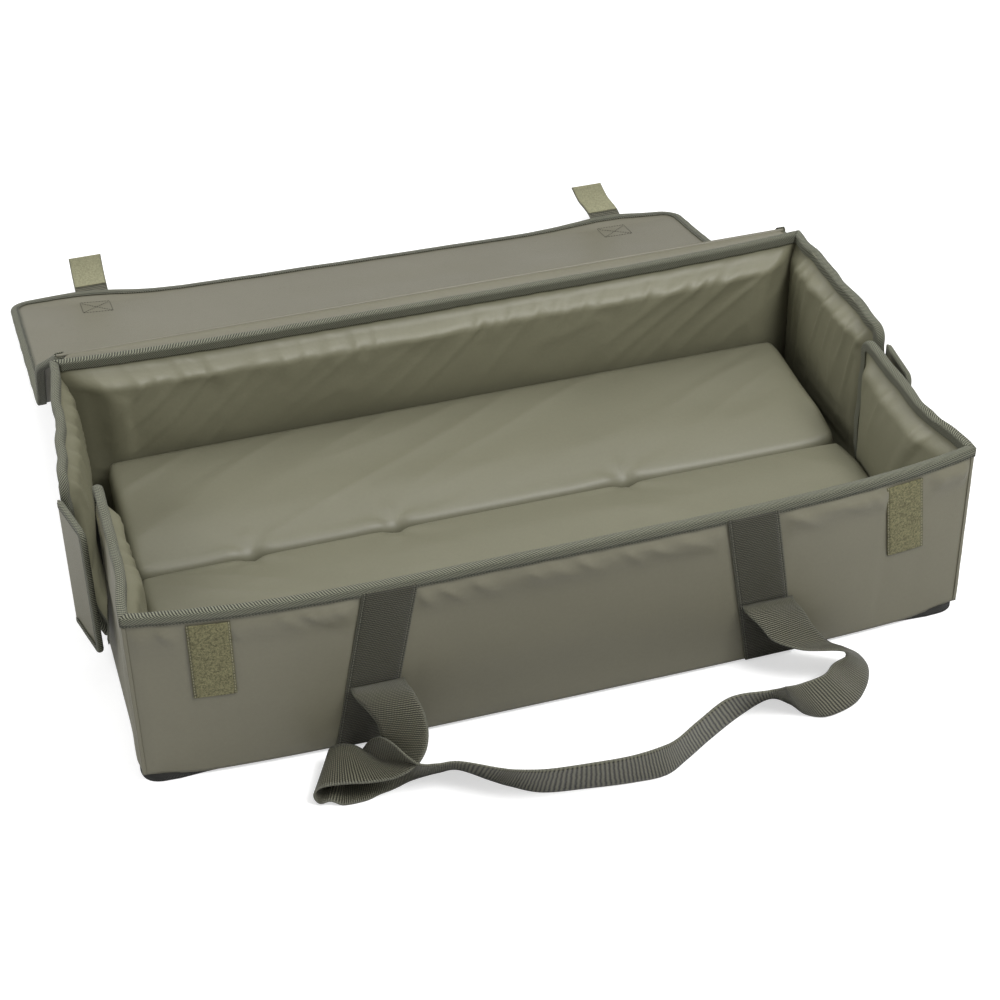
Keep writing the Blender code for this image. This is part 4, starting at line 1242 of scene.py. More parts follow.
    def binding_face(self, s: float, t: float) -> Vector:
        """Return the middle of the binding's cloth along the free edge.

        Args:
            s: share along the edge.
            t: share around it.

        Returns:
            The place.
        """
        tray = self.tray
        run = s * self.edge_length
        depth, reach = tape_profile(t, tray, tray.rim, tray.tape_reach)
        y, z, dy, dz = self.edge(run)
        wave = 0.0014 * grain(run / 0.022, t * 2.0, self.seed + 21) * smooth(run / 0.03)
        lean = (0.0013 if self.front else 0.0030) * grain(run / 0.032, 3.3, self.seed + 25)
        lean *= smooth(run / 0.03)
        reach = max(0.0, reach) - wave
        if run < tray.depth / 2 * 0.2:
            start = abs(self.corner_y(depth, z + dz * reach))
            blend = 1 - run / (tray.depth / 2 * 0.2)
            y += (start - tray.depth / 2) * blend
        place = self.at(self.sign * (y + dy * reach), depth + lean, z + dz * reach)
        return place

    def build(self, wardrobe: Wardrobe, room: ClothRoom) -> list[bpy.types.Object]:
        """Make the half wall's three pieces.

        Args:
            wardrobe: dresses each piece.
            room: settles the lining.

        Returns:
            The lining, the cover and the binding.
        """
        tray = self.tray
        size = (tray.depth / 2, tray.head - tray.foot)
        name = f"end_lining_{self.title}_padded"
        lining = Cloth(name, 84, 66, self.lining_face, size, self.lining_back).build()
        room.add(lining, Settling(1.0, (1.0, 1.06, 1.02), 0.0055, 0.2), self.sewn)
        wardrobe.dress(lining, "lining")
        cover = Cloth(f"end_cover_{self.title}_cloth", 84, 60, self.cover_face, size, self.cover_back).build()
        wardrobe.dress(cover, "cover")
        around = 2 * tray.tape_reach + tray.rim * 1.2
        name = f"end_binding_{self.title}"
        tape = Cloth(name, 260, 22, self.binding_face, (self.edge_length, around)).build()
        thicken(tape, 0.0011)
        wardrobe.dress(tape, "binding")
        for piece, node in ((lining, "end_lining_"), (cover, "end_cover_"), (tape, "end_tape_")):
            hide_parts(node + self.title)
        return [lining, cover, tape, self.corner_seam(wardrobe)]

    def sewn(self, place: Vector) -> float:
        """Return how firmly the half wall's lining is held at a point.

        Args:
            place: a place on the lining.

        Returns:
            From 0, free, to 1, held.
        """
        tray = self.tray
        inside = abs(self.at(place.y, 0.0, place.z).x - place.x)
        if inside < tray.rim * 0.75:
            return 1.0
        beside = abs(place.y) - tray.split
        top = 1 - smooth((tray.height - tray.tape_reach - place.z) / 0.006)
        split = 1 - smooth((beside - tray.tape_reach) / 0.006)
        corner = 1 - smooth((tray.depth / 2 - abs(place.y) - tray.end_wall) / 0.008)
        foot = 1 - smooth((place.z - tray.foot - 0.012) / 0.03)
        return max(top, split, corner, foot)

    def corner_seam(self, wardrobe: Wardrobe) -> bpy.types.Object:
        """Make the narrow strip folded over the upright corner seam.

        Args:
            wardrobe: dresses the strip.

        Returns:
            The strip.
        """
        tray = self.tray
        top = tray.height - tray.tape_reach - 2 * tray.gap
        inward = 1 if self.front else -1
        face = tray.front_face if self.front else tray.rear_face

        def place(s: float, t: float) -> Vector:
            """Map a share along and across the cloth to a place."""
            foot = tray.hem(0.0) + tray.gap
            z = foot + (top - foot) * s
            out = tray.gap + 0.0003 + 0.0002 * grain(z / 0.02, t, self.seed)
            turn = 2 * t - 1
            if turn < -0.15:
                x = self.side * (tray.length / 2 - self.seam_leg * (-turn - 0.15) / 0.85)
                return Vector((x, face(x, z) - inward * out, z))
            if turn > 0.15:
                y = -inward * (tray.depth / 2 - self.seam_leg * (turn - 0.15) / 0.85)
                return self.at(y, -out, z)
            angle = (turn + 0.15) / 0.3 * math.pi / 2
            x = self.side * (tray.length / 2 + out * math.sin(angle))
            y = -inward * (tray.depth / 2 + out * math.cos(angle))
            return Vector((x, y, z))

        strip = Cloth(f"corner_seam_{self.title}", 60, 16, place, (top - tray.foot, 0.013)).build()
        thicken(strip, 0.0005)
        wardrobe.dress(strip, "cover")
        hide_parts("corner_tape_" + self.title)
        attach(strip, self.body)
        return strip


# Floor pads and base


@dataclass
class Pad:
    """One of the two thick cushions of the floor."""

    tray: Tray
    title: str
    near_y: float
    far_y: float
    body: str
    seed: float
    half_x: float = 0.3650
    roll: float = 0.0095
    crown: float = 0.0030
    swell: float = 0.0072
    corner: float = 0.014
    low: float = 0.0044
    tufts: tuple[float, ...] = (-0.69, -0.295, 0.36)

    def top(self, x: float, y: float) -> float:
        """Return the height of the top face at x and at y from the pad's own middle.

        Args:
            x: distance from the tray's middle.
            y: distance from the pad's own middle.

        Returns:
            The height.
        """
        half_y = abs(self.far_y - self.near_y) / 2
        u, v = x / self.half_x, y / half_y
        edge = min(self.half_x - abs(x), half_y - abs(y))
        drop = roll_edge(edge, self.roll) * 0.98
        fold_side = half_y + y
        pinch = max(near(x, share * self.half_x, 0.009) for share in self.tufts)
        pinch *= 1 - smooth(fold_side / 0.024)
        crown = self.crown * (1 - u * u) * (1 - v * v)
        inside = smooth(edge / 0.02)
        slow = 0.0018 * grain(x / 0.11, y / 0.06, self.seed) * inside
        crease = 0.0013 * (crest((2 * y - x) / 0.105, (2 * x + y) / 0.60, self.seed + 3) - 0.4) * inside
        fan = 0.0
        for share in self.tufts:
            away = Vector((x - share * self.half_x, fold_side))
            angle = math.atan2(away.y, away.x)
            fan += 0.0011 * math.cos(angle * 5 + self.seed) * near(away.length, 0.016, 0.016)
        crown += self.swell * smooth(fold_side / 0.060) + 0.0034 * smooth((fold_side - 0.08) / 0.09)
        return self.tray.pad_top - drop + crown - 0.0050 * pinch + slow + crease + fan * smooth(edge / 0.01)

    def place(self, s: float, t: float) -> Vector:
        """Map a grid share over the pad's top and down its sides to a place.

        Args:
            s: share along the pad.
            t: share across it.

        Returns:
            The place.
        """
        half_y = abs(self.far_y - self.near_y) / 2
        middle = (self.near_y + self.far_y) / 2
        sign = 1 if self.far_y > self.near_y else -1
        wall = 0.052
        x = (s - 0.5) * 2 * (self.half_x + wall)
        y = (t - 0.5) * 2 * (half_y + wall)
        over = max(abs(x) - self.half_x, abs(y) - half_y, 0.0)
        x = max(-self.half_x, min(self.half_x, x))
        y = max(-half_y, min(half_y, y))
        z = self.top(x, y)
        if over > 0:
            z -= (z - self.low) * min(1.0, over / wall)
        u, v = x / self.half_x, y / half_y
        draw = self.corner * 0.3 * abs(v) ** 9 * smooth((abs(x) - self.half_x) / self.corner + 1)
        draw_y = self.corner * 0.3 * abs(u) ** 30 * smooth((abs(y) - half_y) / self.corner + 1)
        pinch = max(near(x, share * self.half_x, 0.016) for share in self.tufts)
        bent = y - math.copysign(draw_y, y) + 0.0016 * pinch * (1 - smooth((half_y + y) / 0.03))
        side = 0.0010 * math.sin(math.pi * min(1.0, over / wall)) if over > 0 else 0.0
        x = x - math.copysign(draw, x) - math.copysign(side, x) * (abs(u) > 0.99)
        return Vector((x, middle + sign * bent, z))

    def build(self, wardrobe: Wardrobe, room: ClothRoom) -> bpy.types.Object:
        """Make the cushion as one closed form.

        Args:
            wardrobe: dresses it.
            room: settles its cloth.

        Returns:
            The cushion.
        """
        half_y = abs(self.far_y - self.near_y) / 2
        size = (2 * self.half_x + 0.104, 2 * half_y + 0.104)

        def under(s: float, t: float) -> Vector:
            """Map a share to the pad's hidden side, under its top."""
            place = self.place(s, t)
            return Vector((place.x * 0.985, place.y, self.low))

        pad = Cloth(f"floor_{self.title}_cushion", 200, 76, self.place, size, under).build()
        merge_close(pad)
        room.add(pad, Settling(0.5, (1.006, 1.010, 1.0), 0.0018, 0.6), self.sewn)
        wardrobe.dress(pad, "pad")
        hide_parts(self.title)
        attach(pad, self.body)
        return pad

    def sewn(self, place: Vector) -> float:
        """Return how firmly the cushion's cloth is held at a point.

        Args:
            place: a place on the cushion.

        Returns:
            From 0, free, to 1, held.
        """
        half_y = abs(self.far_y - self.near_y) / 2
        y = (place.y - (self.near_y + self.far_y) / 2) * (1 if self.far_y > self.near_y else -1)
        if place.z < self.tray.pad_top - self.roll * 0.6:
            return 1.0
        tuft = max(near(place.x, share * self.half_x, 0.010) for share in self.tufts)
        return tuft * (1 - smooth((half_y + y) / 0.02))


@dataclass
class Base:
    """The stiff floor sheet of each half and the tape bound round its outer edge."""

    tray: Tray
    thick: float = 0.0040
    lap: float = 0.0060
    tape: float = 0.0035
    tape_tall: float = 0.0105
    corner: float = 0.020
    tuck: float = 0.0040
    proud: float = 0.0012
    corner_run: float = 0.050

    def outline(self, front: bool, inset: float, count: int = 64) -> list[Vector]:
        """Trace half of the base's edge.

        Args:
            front: whether it is the front half.
            inset: how far inside the outer edge.
            count: points along the long side.

        Returns:
            Points from the right end of the fold round to the left end.
        """
        tray = self.tray
        sign = -1 if front else 1
        radius = self.corner - inset
        cx, cy = tray.length / 2 - self.corner, tray.depth / 2 - self.corner
        start = self.lap + tray.gap if front else -self.lap
        points = [(tray.length / 2 - inset, start + (cy - start) * i / 12) for i in range(12)]
        for i in range(13):
            arc = math.pi / 2 * i / 12
            points.append((cx + radius * math.cos(arc), cy + radius * math.sin(arc)))
        points += [(cx - 2 * cx * i / count, tray.depth / 2 - inset) for i in range(1, count)]
        mirrored = [(-x, y) for x, y in reversed(points[: 25])]
        bent = []
        for x, y in points + mirrored:
            from_end = max(0.0, tray.length / 2 - self.corner - abs(x))
            away = math.hypot(from_end, max(0.0, tray.depth / 2 - self.corner - y))
            out = (self.tuck + self.proud) * (1 - smooth(away, self.corner_run))
            x += math.copysign(out, x) * smooth(abs(x) - tray.length / 2 + 0.030, 0.020)
            y += out * smooth(y - tray.depth / 2 + 0.030, 0.020)
            bow = 0.0
            if front:
                bow = tray.foot_bow * tray.bulge(x) * smooth((y - tray.depth / 4) / (tray.depth / 4))
            bent.append(Vector((x, sign * (y + bow), 0.0)))
        return bent

    def build(self, wardrobe: Wardrobe) -> list[bpy.types.Object]:
        """Make both sheets and both tapes.

        Args:
            wardrobe: dresses them.

        Returns:
            The four pieces.
        """
        made = []
        for title, front, body in (("front", True, "front_half"), ("rear", False, "rear_half")):
            bm = bmesh.new()
            bm.loops.layers.uv.new("Cloth")
            inset = self.tape + self.tuck + self.tray.gap
            edge = [bm.verts.new(point) for point in self.outline(front, inset)]
            face = bm.faces.new(edge)
            raised = bmesh.ops.extrude_face_region(bm, geom=[face])
            verts = [item for item in raised["geom"] if isinstance(item, bmesh.types.BMVert)]
            bmesh.ops.translate(bm, verts=verts, vec=(0, 0, self.thick - self.tray.gap))
            bmesh.ops.recalc_face_normals(bm, faces=bm.faces)
            sheet = finish_mesh(f"base_{title}_sheet", bm)
            sheet.data.set_sharp_from_angle(angle=math.radians(40))
            wardrobe.dress(sheet, "base")
            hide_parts(f"base_sheet_{title}")
            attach(sheet, body)
            outer = self.outline(front, self.tuck)
            inner = self.outline(front, self.tape + self.tuck)
            last = len(outer) - 1

            def place(
                s: float, t: float, outer: list = outer, inner: list = inner, last: int = last
            ) -> Vector:
                """Map a share along and across the cloth to a place."""
                index = min(last - 1, int(s * last))
                part = s * last - index
                far = outer[index].lerp(outer[index + 1], part)
                close = inner[index].lerp(inner[index + 1], part)
                angle = math.pi * t
                lift = math.sin(angle) ** 0.5
                ripple = 0.0004 * grain(far.x / 0.02, far.y / 0.02, t)
                spot = far.lerp(close, 0.15 + 0.85 * (1 - math.cos(angle)) / 2)
                spot.z = 0.0006 + (self.tape_tall - 0.0012) * lift + ripple * lift
                return spot

            tape = Cloth(f"base_{title}_binding", 260, 12, place, (1.2, 0.025)).build()
            thicken(tape, 0.0011)
            wardrobe.dress(tape, "edging")
            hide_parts(f"base_tape_{title}")
            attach(tape, body)
            made += [sheet, tape]
        return made

    def fold_strip(self, wardrobe: Wardrobe) -> bpy.types.Object:
        """Make the strip that joins the two halves between the pads.

        Args:
            wardrobe: dresses it.

        Returns:
            The strip.
        """
        low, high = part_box("fold_tape")

        def place(s: float, t: float) -> Vector:
            """Map a share along and across the cloth to a place."""
            x = low.x + (high.x - low.x) * s
            return Vector((x, 0.0001 * grain(x / 0.03, t, 1), low.z + (high.z - low.z) * t))

        strip = Cloth("fold_line_strip", 120, 8, place, (high.x - low.x, high.z - low.z)).build()
        thicken(strip, 0.0005)
        wardrobe.dress(strip, "binding")
        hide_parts("fold_tape")
        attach(strip, "rear_half")
        return strip


# Straps, patches and flaps


@dataclass
class WallStraps:
    """The webbings sewn up the long walls and the two loop patches on the front wall."""

    tray: Tray
    thick: float = 0.0022
    loop_wide: float = 0.038
    loop_tall: float = 0.084
    loop_foot: float = 0.096
    loop_thick: float = 0.0014
    head_x: float = 0.168
    splay: float = 0.17

    def strip(
        self, name: str, front: bool, low: float, high: float, foot: float, head: float,
        thick: float, upright: bool,
    ) -> bpy.types.Object:
        """Lay a strip on a long wall.

        Args:
            name: the piece's name.
            front: whether it is on the front wall.
            low: its lowest x.
            high: its highest x.
            foot: its lowest z.
            head: its highest z.
            thick: its thickness.
            upright: whether its length runs up the wall.

        Returns:
            The strip.
        """
        tray = self.tray
        lean = 0.0
        if front:
            patch_lean = 0.35 + 0.35 * math.copysign(1, low)
            lean = 1.0 if high - low > self.loop_wide + 0.001 else patch_lean

        def place(s: float, t: float) -> Vector:
            """Map a share along and across the cloth to a place."""
            z = foot + (head - foot) * (s if upright else t)
            x = low + (high - low) * (t if upright else s)
            x += math.copysign(self.splay * lean, low) * (tray.height - z)
            edge = min(s, 1 - s, t, 1 - t)
            lift = tray.gap + thick * 0.5 + 0.0004 * smooth(edge / 0.15)
            lift += 0.0003 * grain(x / 0.02, z / 0.02, low)
            y = tray.front_face(x, z) - lift if front else tray.rear_face(x, z) + lift
            return Vector((x, y, z))

        size = (head - foot, high - low) if upright else (high - low, head - foot)
        piece = Cloth(name, 90 if upright else 40, 24, place, size, flip=not front).build()
        return thicken(piece, thick)

    def build(self, wardrobe: Wardrobe) -> list[bpy.types.Object]:
        """Make the four webbings and the two patches.

        Args:
            wardrobe: dresses them.

        Returns:
            The pieces.
        """
        tray = self.tray
        made = []
        head = tray.height - tray.tape_reach + 0.004
        for title, front, body in (("front", True, "front_half"), ("rear", False, "rear_half")):
            for side, sign in (("left", -1), ("right", 1)):
                low = sign * (self.head_x if front else tray.webbing_at) - tray.webbing / 2
                name = f"{title}_webbing_{side}"
                ends = (low, low + tray.webbing, tray.foot, head)
                strip = self.strip(name, front, *ends, self.thick * 0.8, True)
                wardrobe.dress(strip, "webbing")
                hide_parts(f"webbing_{title}_{side}")
                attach(strip, body)
                made.append(strip)
        for side, sign in (("left", -1), ("right", 1)):
            low = sign * (tray.loop_at - 0.0035) - self.loop_wide / 2 - (0.0065 if sign > 0 else 0.0)
            ends = (low, low + self.loop_wide, self.loop_foot, self.loop_foot + self.loop_tall)
            patch = self.strip(f"front_loop_patch_{side}", True, *ends, self.loop_thick, True)
            wardrobe.dress(patch, "loop")
            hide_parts(f"loop_patch_{side}")
            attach(patch, "front_half")
            made.append(patch)
        return made


def curve_through(rows: Sequence[Sequence[float]], share: float) -> list[float]:
    """Read a smooth curve through a list of rows.

    Args:
        rows: the rows of values that it passes through.
        share: 0 at the first row and 1 at the last.

    Returns:
        The values at that share.
    """
    place = share * (len(rows) - 1)
    index = min(int(place), len(rows) - 2)
    t = place - index
    before = rows[max(index - 1, 0)]
    here = rows[index]
    there = rows[index + 1]
    after = rows[min(index + 2, len(rows) - 1)]
    values = []
    for a, b, c, d in zip(before, here, there, after):
        bend = (2 * a - 5 * b + 4 * c - d) * t * t
        turn = (3 * b - a - 3 * c + d) * t**3
        values.append(0.5 * (2 * b + (c - a) * t + bend + turn))
    return values


FRONT_ROUTE: tuple[tuple[float, ...], ...] = (
    (-0.1850, 0.0000, 0.0800, -1.00, 0.00, 0.00, 0.0),
    (-0.1840, 0.0100, 0.0795, -1.00, 0.00, -0.02, 0.0),
    (-0.1790, 0.0207, 0.0740, -0.90, 0.30, -0.20, 0.0),
    (-0.1730, 0.0327, 0.0620, -0.78, 0.50, -0.32, 0.0),
    (-0.1725, 0.0427, 0.0500, -0.72, 0.58, -0.36, 0.0),
    (-0.1765, 0.0497, 0.0385, -0.64, 0.66, -0.36, 0.0),
    (-0.1850, 0.0517, 0.0300, -0.50, 0.80, -0.30, 0.0),
    (-0.1970, 0.0477, 0.0265, -0.28, 0.94, -0.14, 0.0),
    (-0.2120, 0.0407, 0.0260, -0.05, 0.99, 0.02, 0.0),
    (-0.2300, 0.0347, 0.0255, 0.20, 0.97, 0.03, 0.0),
    (-0.2440, 0.0307, 0.0210, 0.40, 0.91, 0.02, 0.0),
    (-0.2480, 0.0307, 0.0120, 0.48, 0.87, 0.03, 0.0),
    (-0.2420, 0.0337, 0.0045, 0.48, 0.87, 0.04, 0.0),
    (-0.2269, 0.0376, 0.0200, 0.30, 0.95, 0.05, 1.0),
    (-0.2132, 0.0375, 0.0200, 0.12, 0.98, 0.15, 1.0),
    (-0.1990, 0.0374, 0.0200, 0.02, 0.82, 0.57, 1.0),
    (-0.1870, 0.0481, 0.0200, -0.06, 0.25, 0.97, 1.0),
    (-0.1751, 0.0568, 0.0200, -0.12, -0.30, 0.95, 1.0),
    (-0.1633, 0.0608, 0.0200, -0.16, -0.54, 0.83, 1.0),
    (-0.1482, 0.0617, 0.0200, -0.16, -0.60, 0.78, 1.0),
    (-0.1291, 0.0640, 0.0200, -0.13, -0.62, 0.77, 1.0),
    (-0.1021, 0.0853, 0.0200, 0.00, -0.59, 0.81, 1.0),
    (-0.0867, 0.0967, 0.0200, 0.02, -0.53, 0.85, 1.0),
    (-0.0620, 0.1099, 0.0200, 0.00, -0.41, 0.91, 1.0),
    (-0.0225, 0.1163, 0.0200, -0.12, -0.35, 0.92, 1.0),
    (0.0150, 0.1202, 0.0200, -0.20, -0.30, 0.93, 1.0),
    (0.0447, 0.1190, 0.0200, -0.25, -0.25, 0.93, 1.0),
    (0.0673, 0.1079, 0.0200, -0.35, -0.35, 0.87, 1.0),
    (0.0965, 0.0892, 0.0200, -0.38, -0.36, 0.85, 1.0),
    (0.1345, 0.0677, 0.0200, -0.42, -0.38, 0.83, 1.0),
    (0.1700, 0.0607, 0.0200, -0.32, -0.58, 0.75, 1.0),
    (0.1840, 0.0692, 0.0200, -0.36, -0.42, 0.82, 1.0),
    (0.1902, 0.0792, 0.0200, -0.47, -0.10, 0.87, 1.0),
    (0.2060, 0.0822, 0.0200, -0.56, 0.14, 0.82, 1.0),
    (0.2343, 0.0748, 0.0200, -0.61, 0.12, 0.78, 1.0),
    (0.2522, 0.0585, 0.0200, -0.69, 0.05, 0.72, 1.0),
    (0.2654, 0.0454, 0.0214, -0.64, -0.31, 0.70, 0.0),
    (0.2599, 0.0414, 0.0321, -0.59, -0.47, 0.66, 0.0),
    (0.2456, 0.0332, 0.0337, -0.69, -0.50, 0.52, 0.0),
    (0.2297, 0.0257, 0.0361, -0.78, -0.48, 0.40, 0.0),
    (0.2116, 0.0167, 0.0485, -0.94, -0.32, 0.13, 0.0),
    (0.2016, 0.0098, 0.0638, -0.98, -0.20, 0.05, 0.0),
    (0.1915, 0.0045, 0.0765, -1.00, 0.00, 0.00, 0.0),
    (0.1905, 0.0000, 0.0800, -1.00, 0.00, 0.00, 0.0),
)

REAR_HALF: tuple[tuple[float, ...], ...] = (
    (-0.1720, 0.0000, 0.0670, 1.00, 0.00, 0.00, 0.0),
    (-0.1720, 0.0064, 0.0657, 1.00, 0.00, -0.10, 0.0),
    (-0.1752, 0.0152, 0.0576, 0.90, 0.35, -0.40, 0.0),
    (-0.1888, 0.0224, 0.0429, 0.60, 0.45, -0.75, 0.1),
    (-0.2160, 0.0224, 0.0281, 0.15, 0.15, -0.98, 0.9),
    (-0.2600, 0.0168, 0.0255, 0.00, 0.00, -1.00, 1.0),
    (-0.2896, 0.0168, 0.0255, 0.00, 0.00, -1.00, 1.0),
    (-0.3024, 0.0248, 0.0255, 0.00, 0.00, -1.00, 1.0),
    (-0.2896, 0.0336, 0.0255, 0.00, 0.00, -1.00, 1.0),
    (-0.2480, 0.0360, 0.0255, 0.00, 0.00, -1.00, 1.0),
    (-0.1600, 0.0368, 0.0255, 0.00, 0.00, -1.00, 1.0),
    (-0.0800, 0.0376, 0.0255, 0.00, 0.00, -1.00, 1.0),
    (0.0000, 0.0384, 0.0255, 0.00, 0.00, -1.00, 1.0),
)


@dataclass
class Handle:
    """A webbing handle that lies loose beside its wall."""

    tray: Tray
    title: str
    front: bool
    route: Sequence[Sequence[float]]
    body: str
    leave_z: float = 0.067
    square: float = 1.0
    wide: float = 0.050
    thick: float = 0.0022
    steps: int = 420

    def line_y(self) -> float:
        """Return y of the line where the handle leaves its webbings."""
        tray = self.tray
        out = 2 * tray.gap + self.thick * 1.8
        if self.front:
            return tray.front_face(tray.webbing_at - self.wide / 2, self.leave_z + self.thick) - out
        return tray.rear_face(tray.webbing_at + self.wide / 2, self.leave_z - self.thick) + out

    def centre(self, share: float) -> tuple[Vector, Vector]:
        """Return the strap's middle and the direction of its width at a share.

        Args:
            share: share of its length.

        Returns:
            The middle and the direction.
        """
        row = curve_through(self.route, share)
        y = self.line_y() + (-row[1] if self.front else row[1])
        across = Vector(row[3:6]).normalized()
        lay = smooth(row[6])
        floor = abs(across.z) * self.wide / 2 + self.thick * 0.55
        return Vector((row[0], y, row[2] * (1 - lay) + floor * lay)), across

    def build(self, wardrobe: Wardrobe) -> bpy.types.Object:
        """Sweep the strap along its route.

        Args:
            wardrobe: dresses it.

        Returns:
            The handle.
        """
        rows = [self.centre(index / self.steps) for index in range(self.steps + 1)]
        length = sum((b[0] - a[0]).length for a, b in zip(rows, rows[1:]))

        def place(s: float, t: float) -> Vector:
            """Map a share along and across the cloth to a place."""
            index = round(s * self.steps)
            centre, across = rows[index]
            ahead = (rows[min(index + 1, self.steps)][0] - rows[max(index - 1, 0)][0]).normalized()
            across = (across - ahead * across.dot(ahead) * self.square).normalized()
            face = ahead.cross(across)
            turn = 2 * t - 1
            cup = 0.0010 * (1 - turn * turn) * grain(s * 9, 0.3, 4)
            spot = centre + across * (turn * self.wide / 2) + face * cup
            lowest = min((centre + across * (a * self.wide / 2)).z for a in (-1, 1))
            lift = max(0.0, self.thick * 0.6 - lowest)
            return spot + Vector((0, 0, lift))

        strap = Cloth(self.title + "_strap", self.steps, 10, place, (length, self.wide)).build()
        thicken(strap, self.thick * 0.85)
        wardrobe.dress(strap, "strap")
        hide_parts(self.title)
        if self.front:
            y = self.line_y()
            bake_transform(strap)
        else:
            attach(strap, self.body)
        LOG.info("%s strap is %.0f mm long", self.title, 1000 * length)
        return strap


@dataclass
class Closure:
    """A bound flap on a rear half wall that laps the split and grips the front half wall."""

    tray: Tray
    side: int
    lean: float
    long: float = 0.062
    foot: float = 0.030
    head: float = 0.176
    thick: float = 0.0024
    reach: float = 0.007
    grip_tall: float = 0.048
    grip_wide: float = 0.030
    loop_thick: float = 0.0014

    @property
    def name(self) -> str:
        """Return left or right."""
        return "right" if self.side > 0 else "left"

    def place(self, along: float, away: float, z: float) -> Vector:
        """Return a place along the flap, away from its middle and at a height.

        Args:
            along: distance along the flap.
            away: distance from its middle.
            z: height.

        Returns:
            The place.
        """
        tray = self.tray
        bead = self.thick / 2 + tray.gap
        face = tray.rear_end_face(self.side, tray.split, self.head) + self.side * (tray.gap + tray.tape)
        root = Vector((face + self.side * (bead + tray.gap), tray.split + tray.run_clear, 0))
        lean = math.radians(self.lean)
        ahead = Vector((-self.side * math.sin(lean), -math.cos(lean), 0))
        out = Vector((self.side * math.cos(lean), -math.sin(lean), 0))
        return root + ahead * along + out * away + Vector((0, 0, z))

    def edge(self, run: float) -> tuple[float, float, float, float]:
        """Follow the flap's free edge.

        Args:
            run: distance from the flap's lower root corner.

        Returns:
            Distance along the flap, height, and the inward direction in those two.
        """
        cut = self.reach * 1.3
        first = 0.0032
        level = self.long - cut - first
        arc = math.pi / 2 * cut
        upright = self.head - self.foot - 2 * cut
        if run < level:
            return first + run, self.foot, 0.0, 1.0
        run -= level
        if run < arc:
            angle = run / cut
            right, down = math.sin(angle), math.cos(angle)
            return self.long - cut + cut * right, self.foot + cut - cut * down, -right, down
        run -= arc
        if run < upright:
            return self.long, self.foot + cut + run, -1.0, 0.0
        run -= upright
        if run < arc:
            angle = run / cut
            right, up = math.cos(angle), math.sin(angle)
            return self.long - cut + cut * right, self.head - cut + cut * up, -right, -up
        run -= arc
        return self.long - cut - run, self.head, 0.0, -1.0

    def build(self, wardrobe: Wardrobe) -> list[bpy.types.Object]:
        """Make the flap, its binding, its hook patch and the loop patch that it grips.

        Args:
            wardrobe: dresses them.

        Returns:
            The pieces.
        """
        tray = self.tray
        edge = tray.tape + tray.gap
        cut = self.reach * 1.3
        body = self.name + "_closure"

        def face(side: float) -> Place:
            """Return the map of one side of the flap."""
            def spot(s: float, t: float) -> Vector:
                """Map a share to a place on that side."""
                along = -0.001 + (self.long - edge + 0.001) * s
                far = max(0.0, along - (self.long - cut)) / cut
                inset = edge + cut * (1 - math.sqrt(max(0.0, 1 - far * far)))
                z = self.foot + inset + (self.head - self.foot - 2 * inset) * t
                puff = 0.0006 * math.sin(math.pi * s) * math.sin(math.pi * t)
                wave = 0.0008 * grain(s * 2, t * 3, self.side) * s
                return self.place(along, side * (self.thick / 2 + puff) + wave, z)
            return spot

        size = (self.long, self.head - self.foot)
        flap = Cloth(f"closure_flap_{self.name}_cloth", 30, 60, face(1), size, face(-1)).build()
        wardrobe.dress(flap, "cover")
        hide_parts(f"closure_flap_{self.name}")
        length = 2 * (self.long - cut - 0.0032) + math.pi * cut + self.head - self.foot - 2 * cut

        def bind(s: float, t: float) -> Vector:
            """Map a share to the binding, along the bound edge and across its tape."""
            along, z, da, dz = self.edge(s * length)
            depth, reach = tape_profile(t, tray, self.thick, self.reach)
            depth -= self.thick / 2
            reach = max(0.0, reach) + 0.0004 * grain(s * 14, t, self.side)
            return self.place(along + da * reach, -depth, z + dz * reach)

        tape = Cloth(f"closure_binding_{self.name}", 200, 18, bind, (length, 0.018)).build()
        thicken(tape, 0.0010)
        wardrobe.dress(tape, "binding")
        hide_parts(f"closure_tape_{self.name}")
        far = self.long - self.reach - 2 * tray.gap
        top = self.head - self.reach - 2 * tray.gap

        def hooks(s: float, t: float) -> Vector:
            """Map a share to the hook patch inside the flap."""
            back = -self.thick / 2 - tray.gap - self.loop_thick / 2
            return self.place(far - self.grip_wide * t, back, top - self.grip_tall * s)

        grip = (self.grip_tall, self.grip_wide)
        hook = Cloth(f"closure_hook_{self.name}_patch", 24, 16, hooks, grip).build()
        thicken(hook, self.loop_thick)
        wardrobe.dress(hook, "loop")
        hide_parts(f"closure_hook_{self.name}")
        front = HalfEnd(tray, self.side, True, 0.0)
        near_y = -tray.split - 0.0145 - 2 * tray.gap

        def loops(s: float, t: float) -> Vector:
            """Map a share to the loop patch on the front half wall."""
            proud = -tray.gap - self.loop_thick / 2 - 0.0006
            return front.at(near_y - self.grip_wide * t, proud, top - self.grip_tall * s)

        loop = Cloth(f"closure_loop_{self.name}_patch", 24, 16, loops, grip).build()
        thicken(loop, self.loop_thick)
        wardrobe.dress(loop, "loop")
        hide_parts(f"closure_loop_{self.name}")
        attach(loop, "front_half")
        for piece in (flap, tape, hook):
            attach(piece, body)
        return [flap, tape, hook, loop]


# Cover


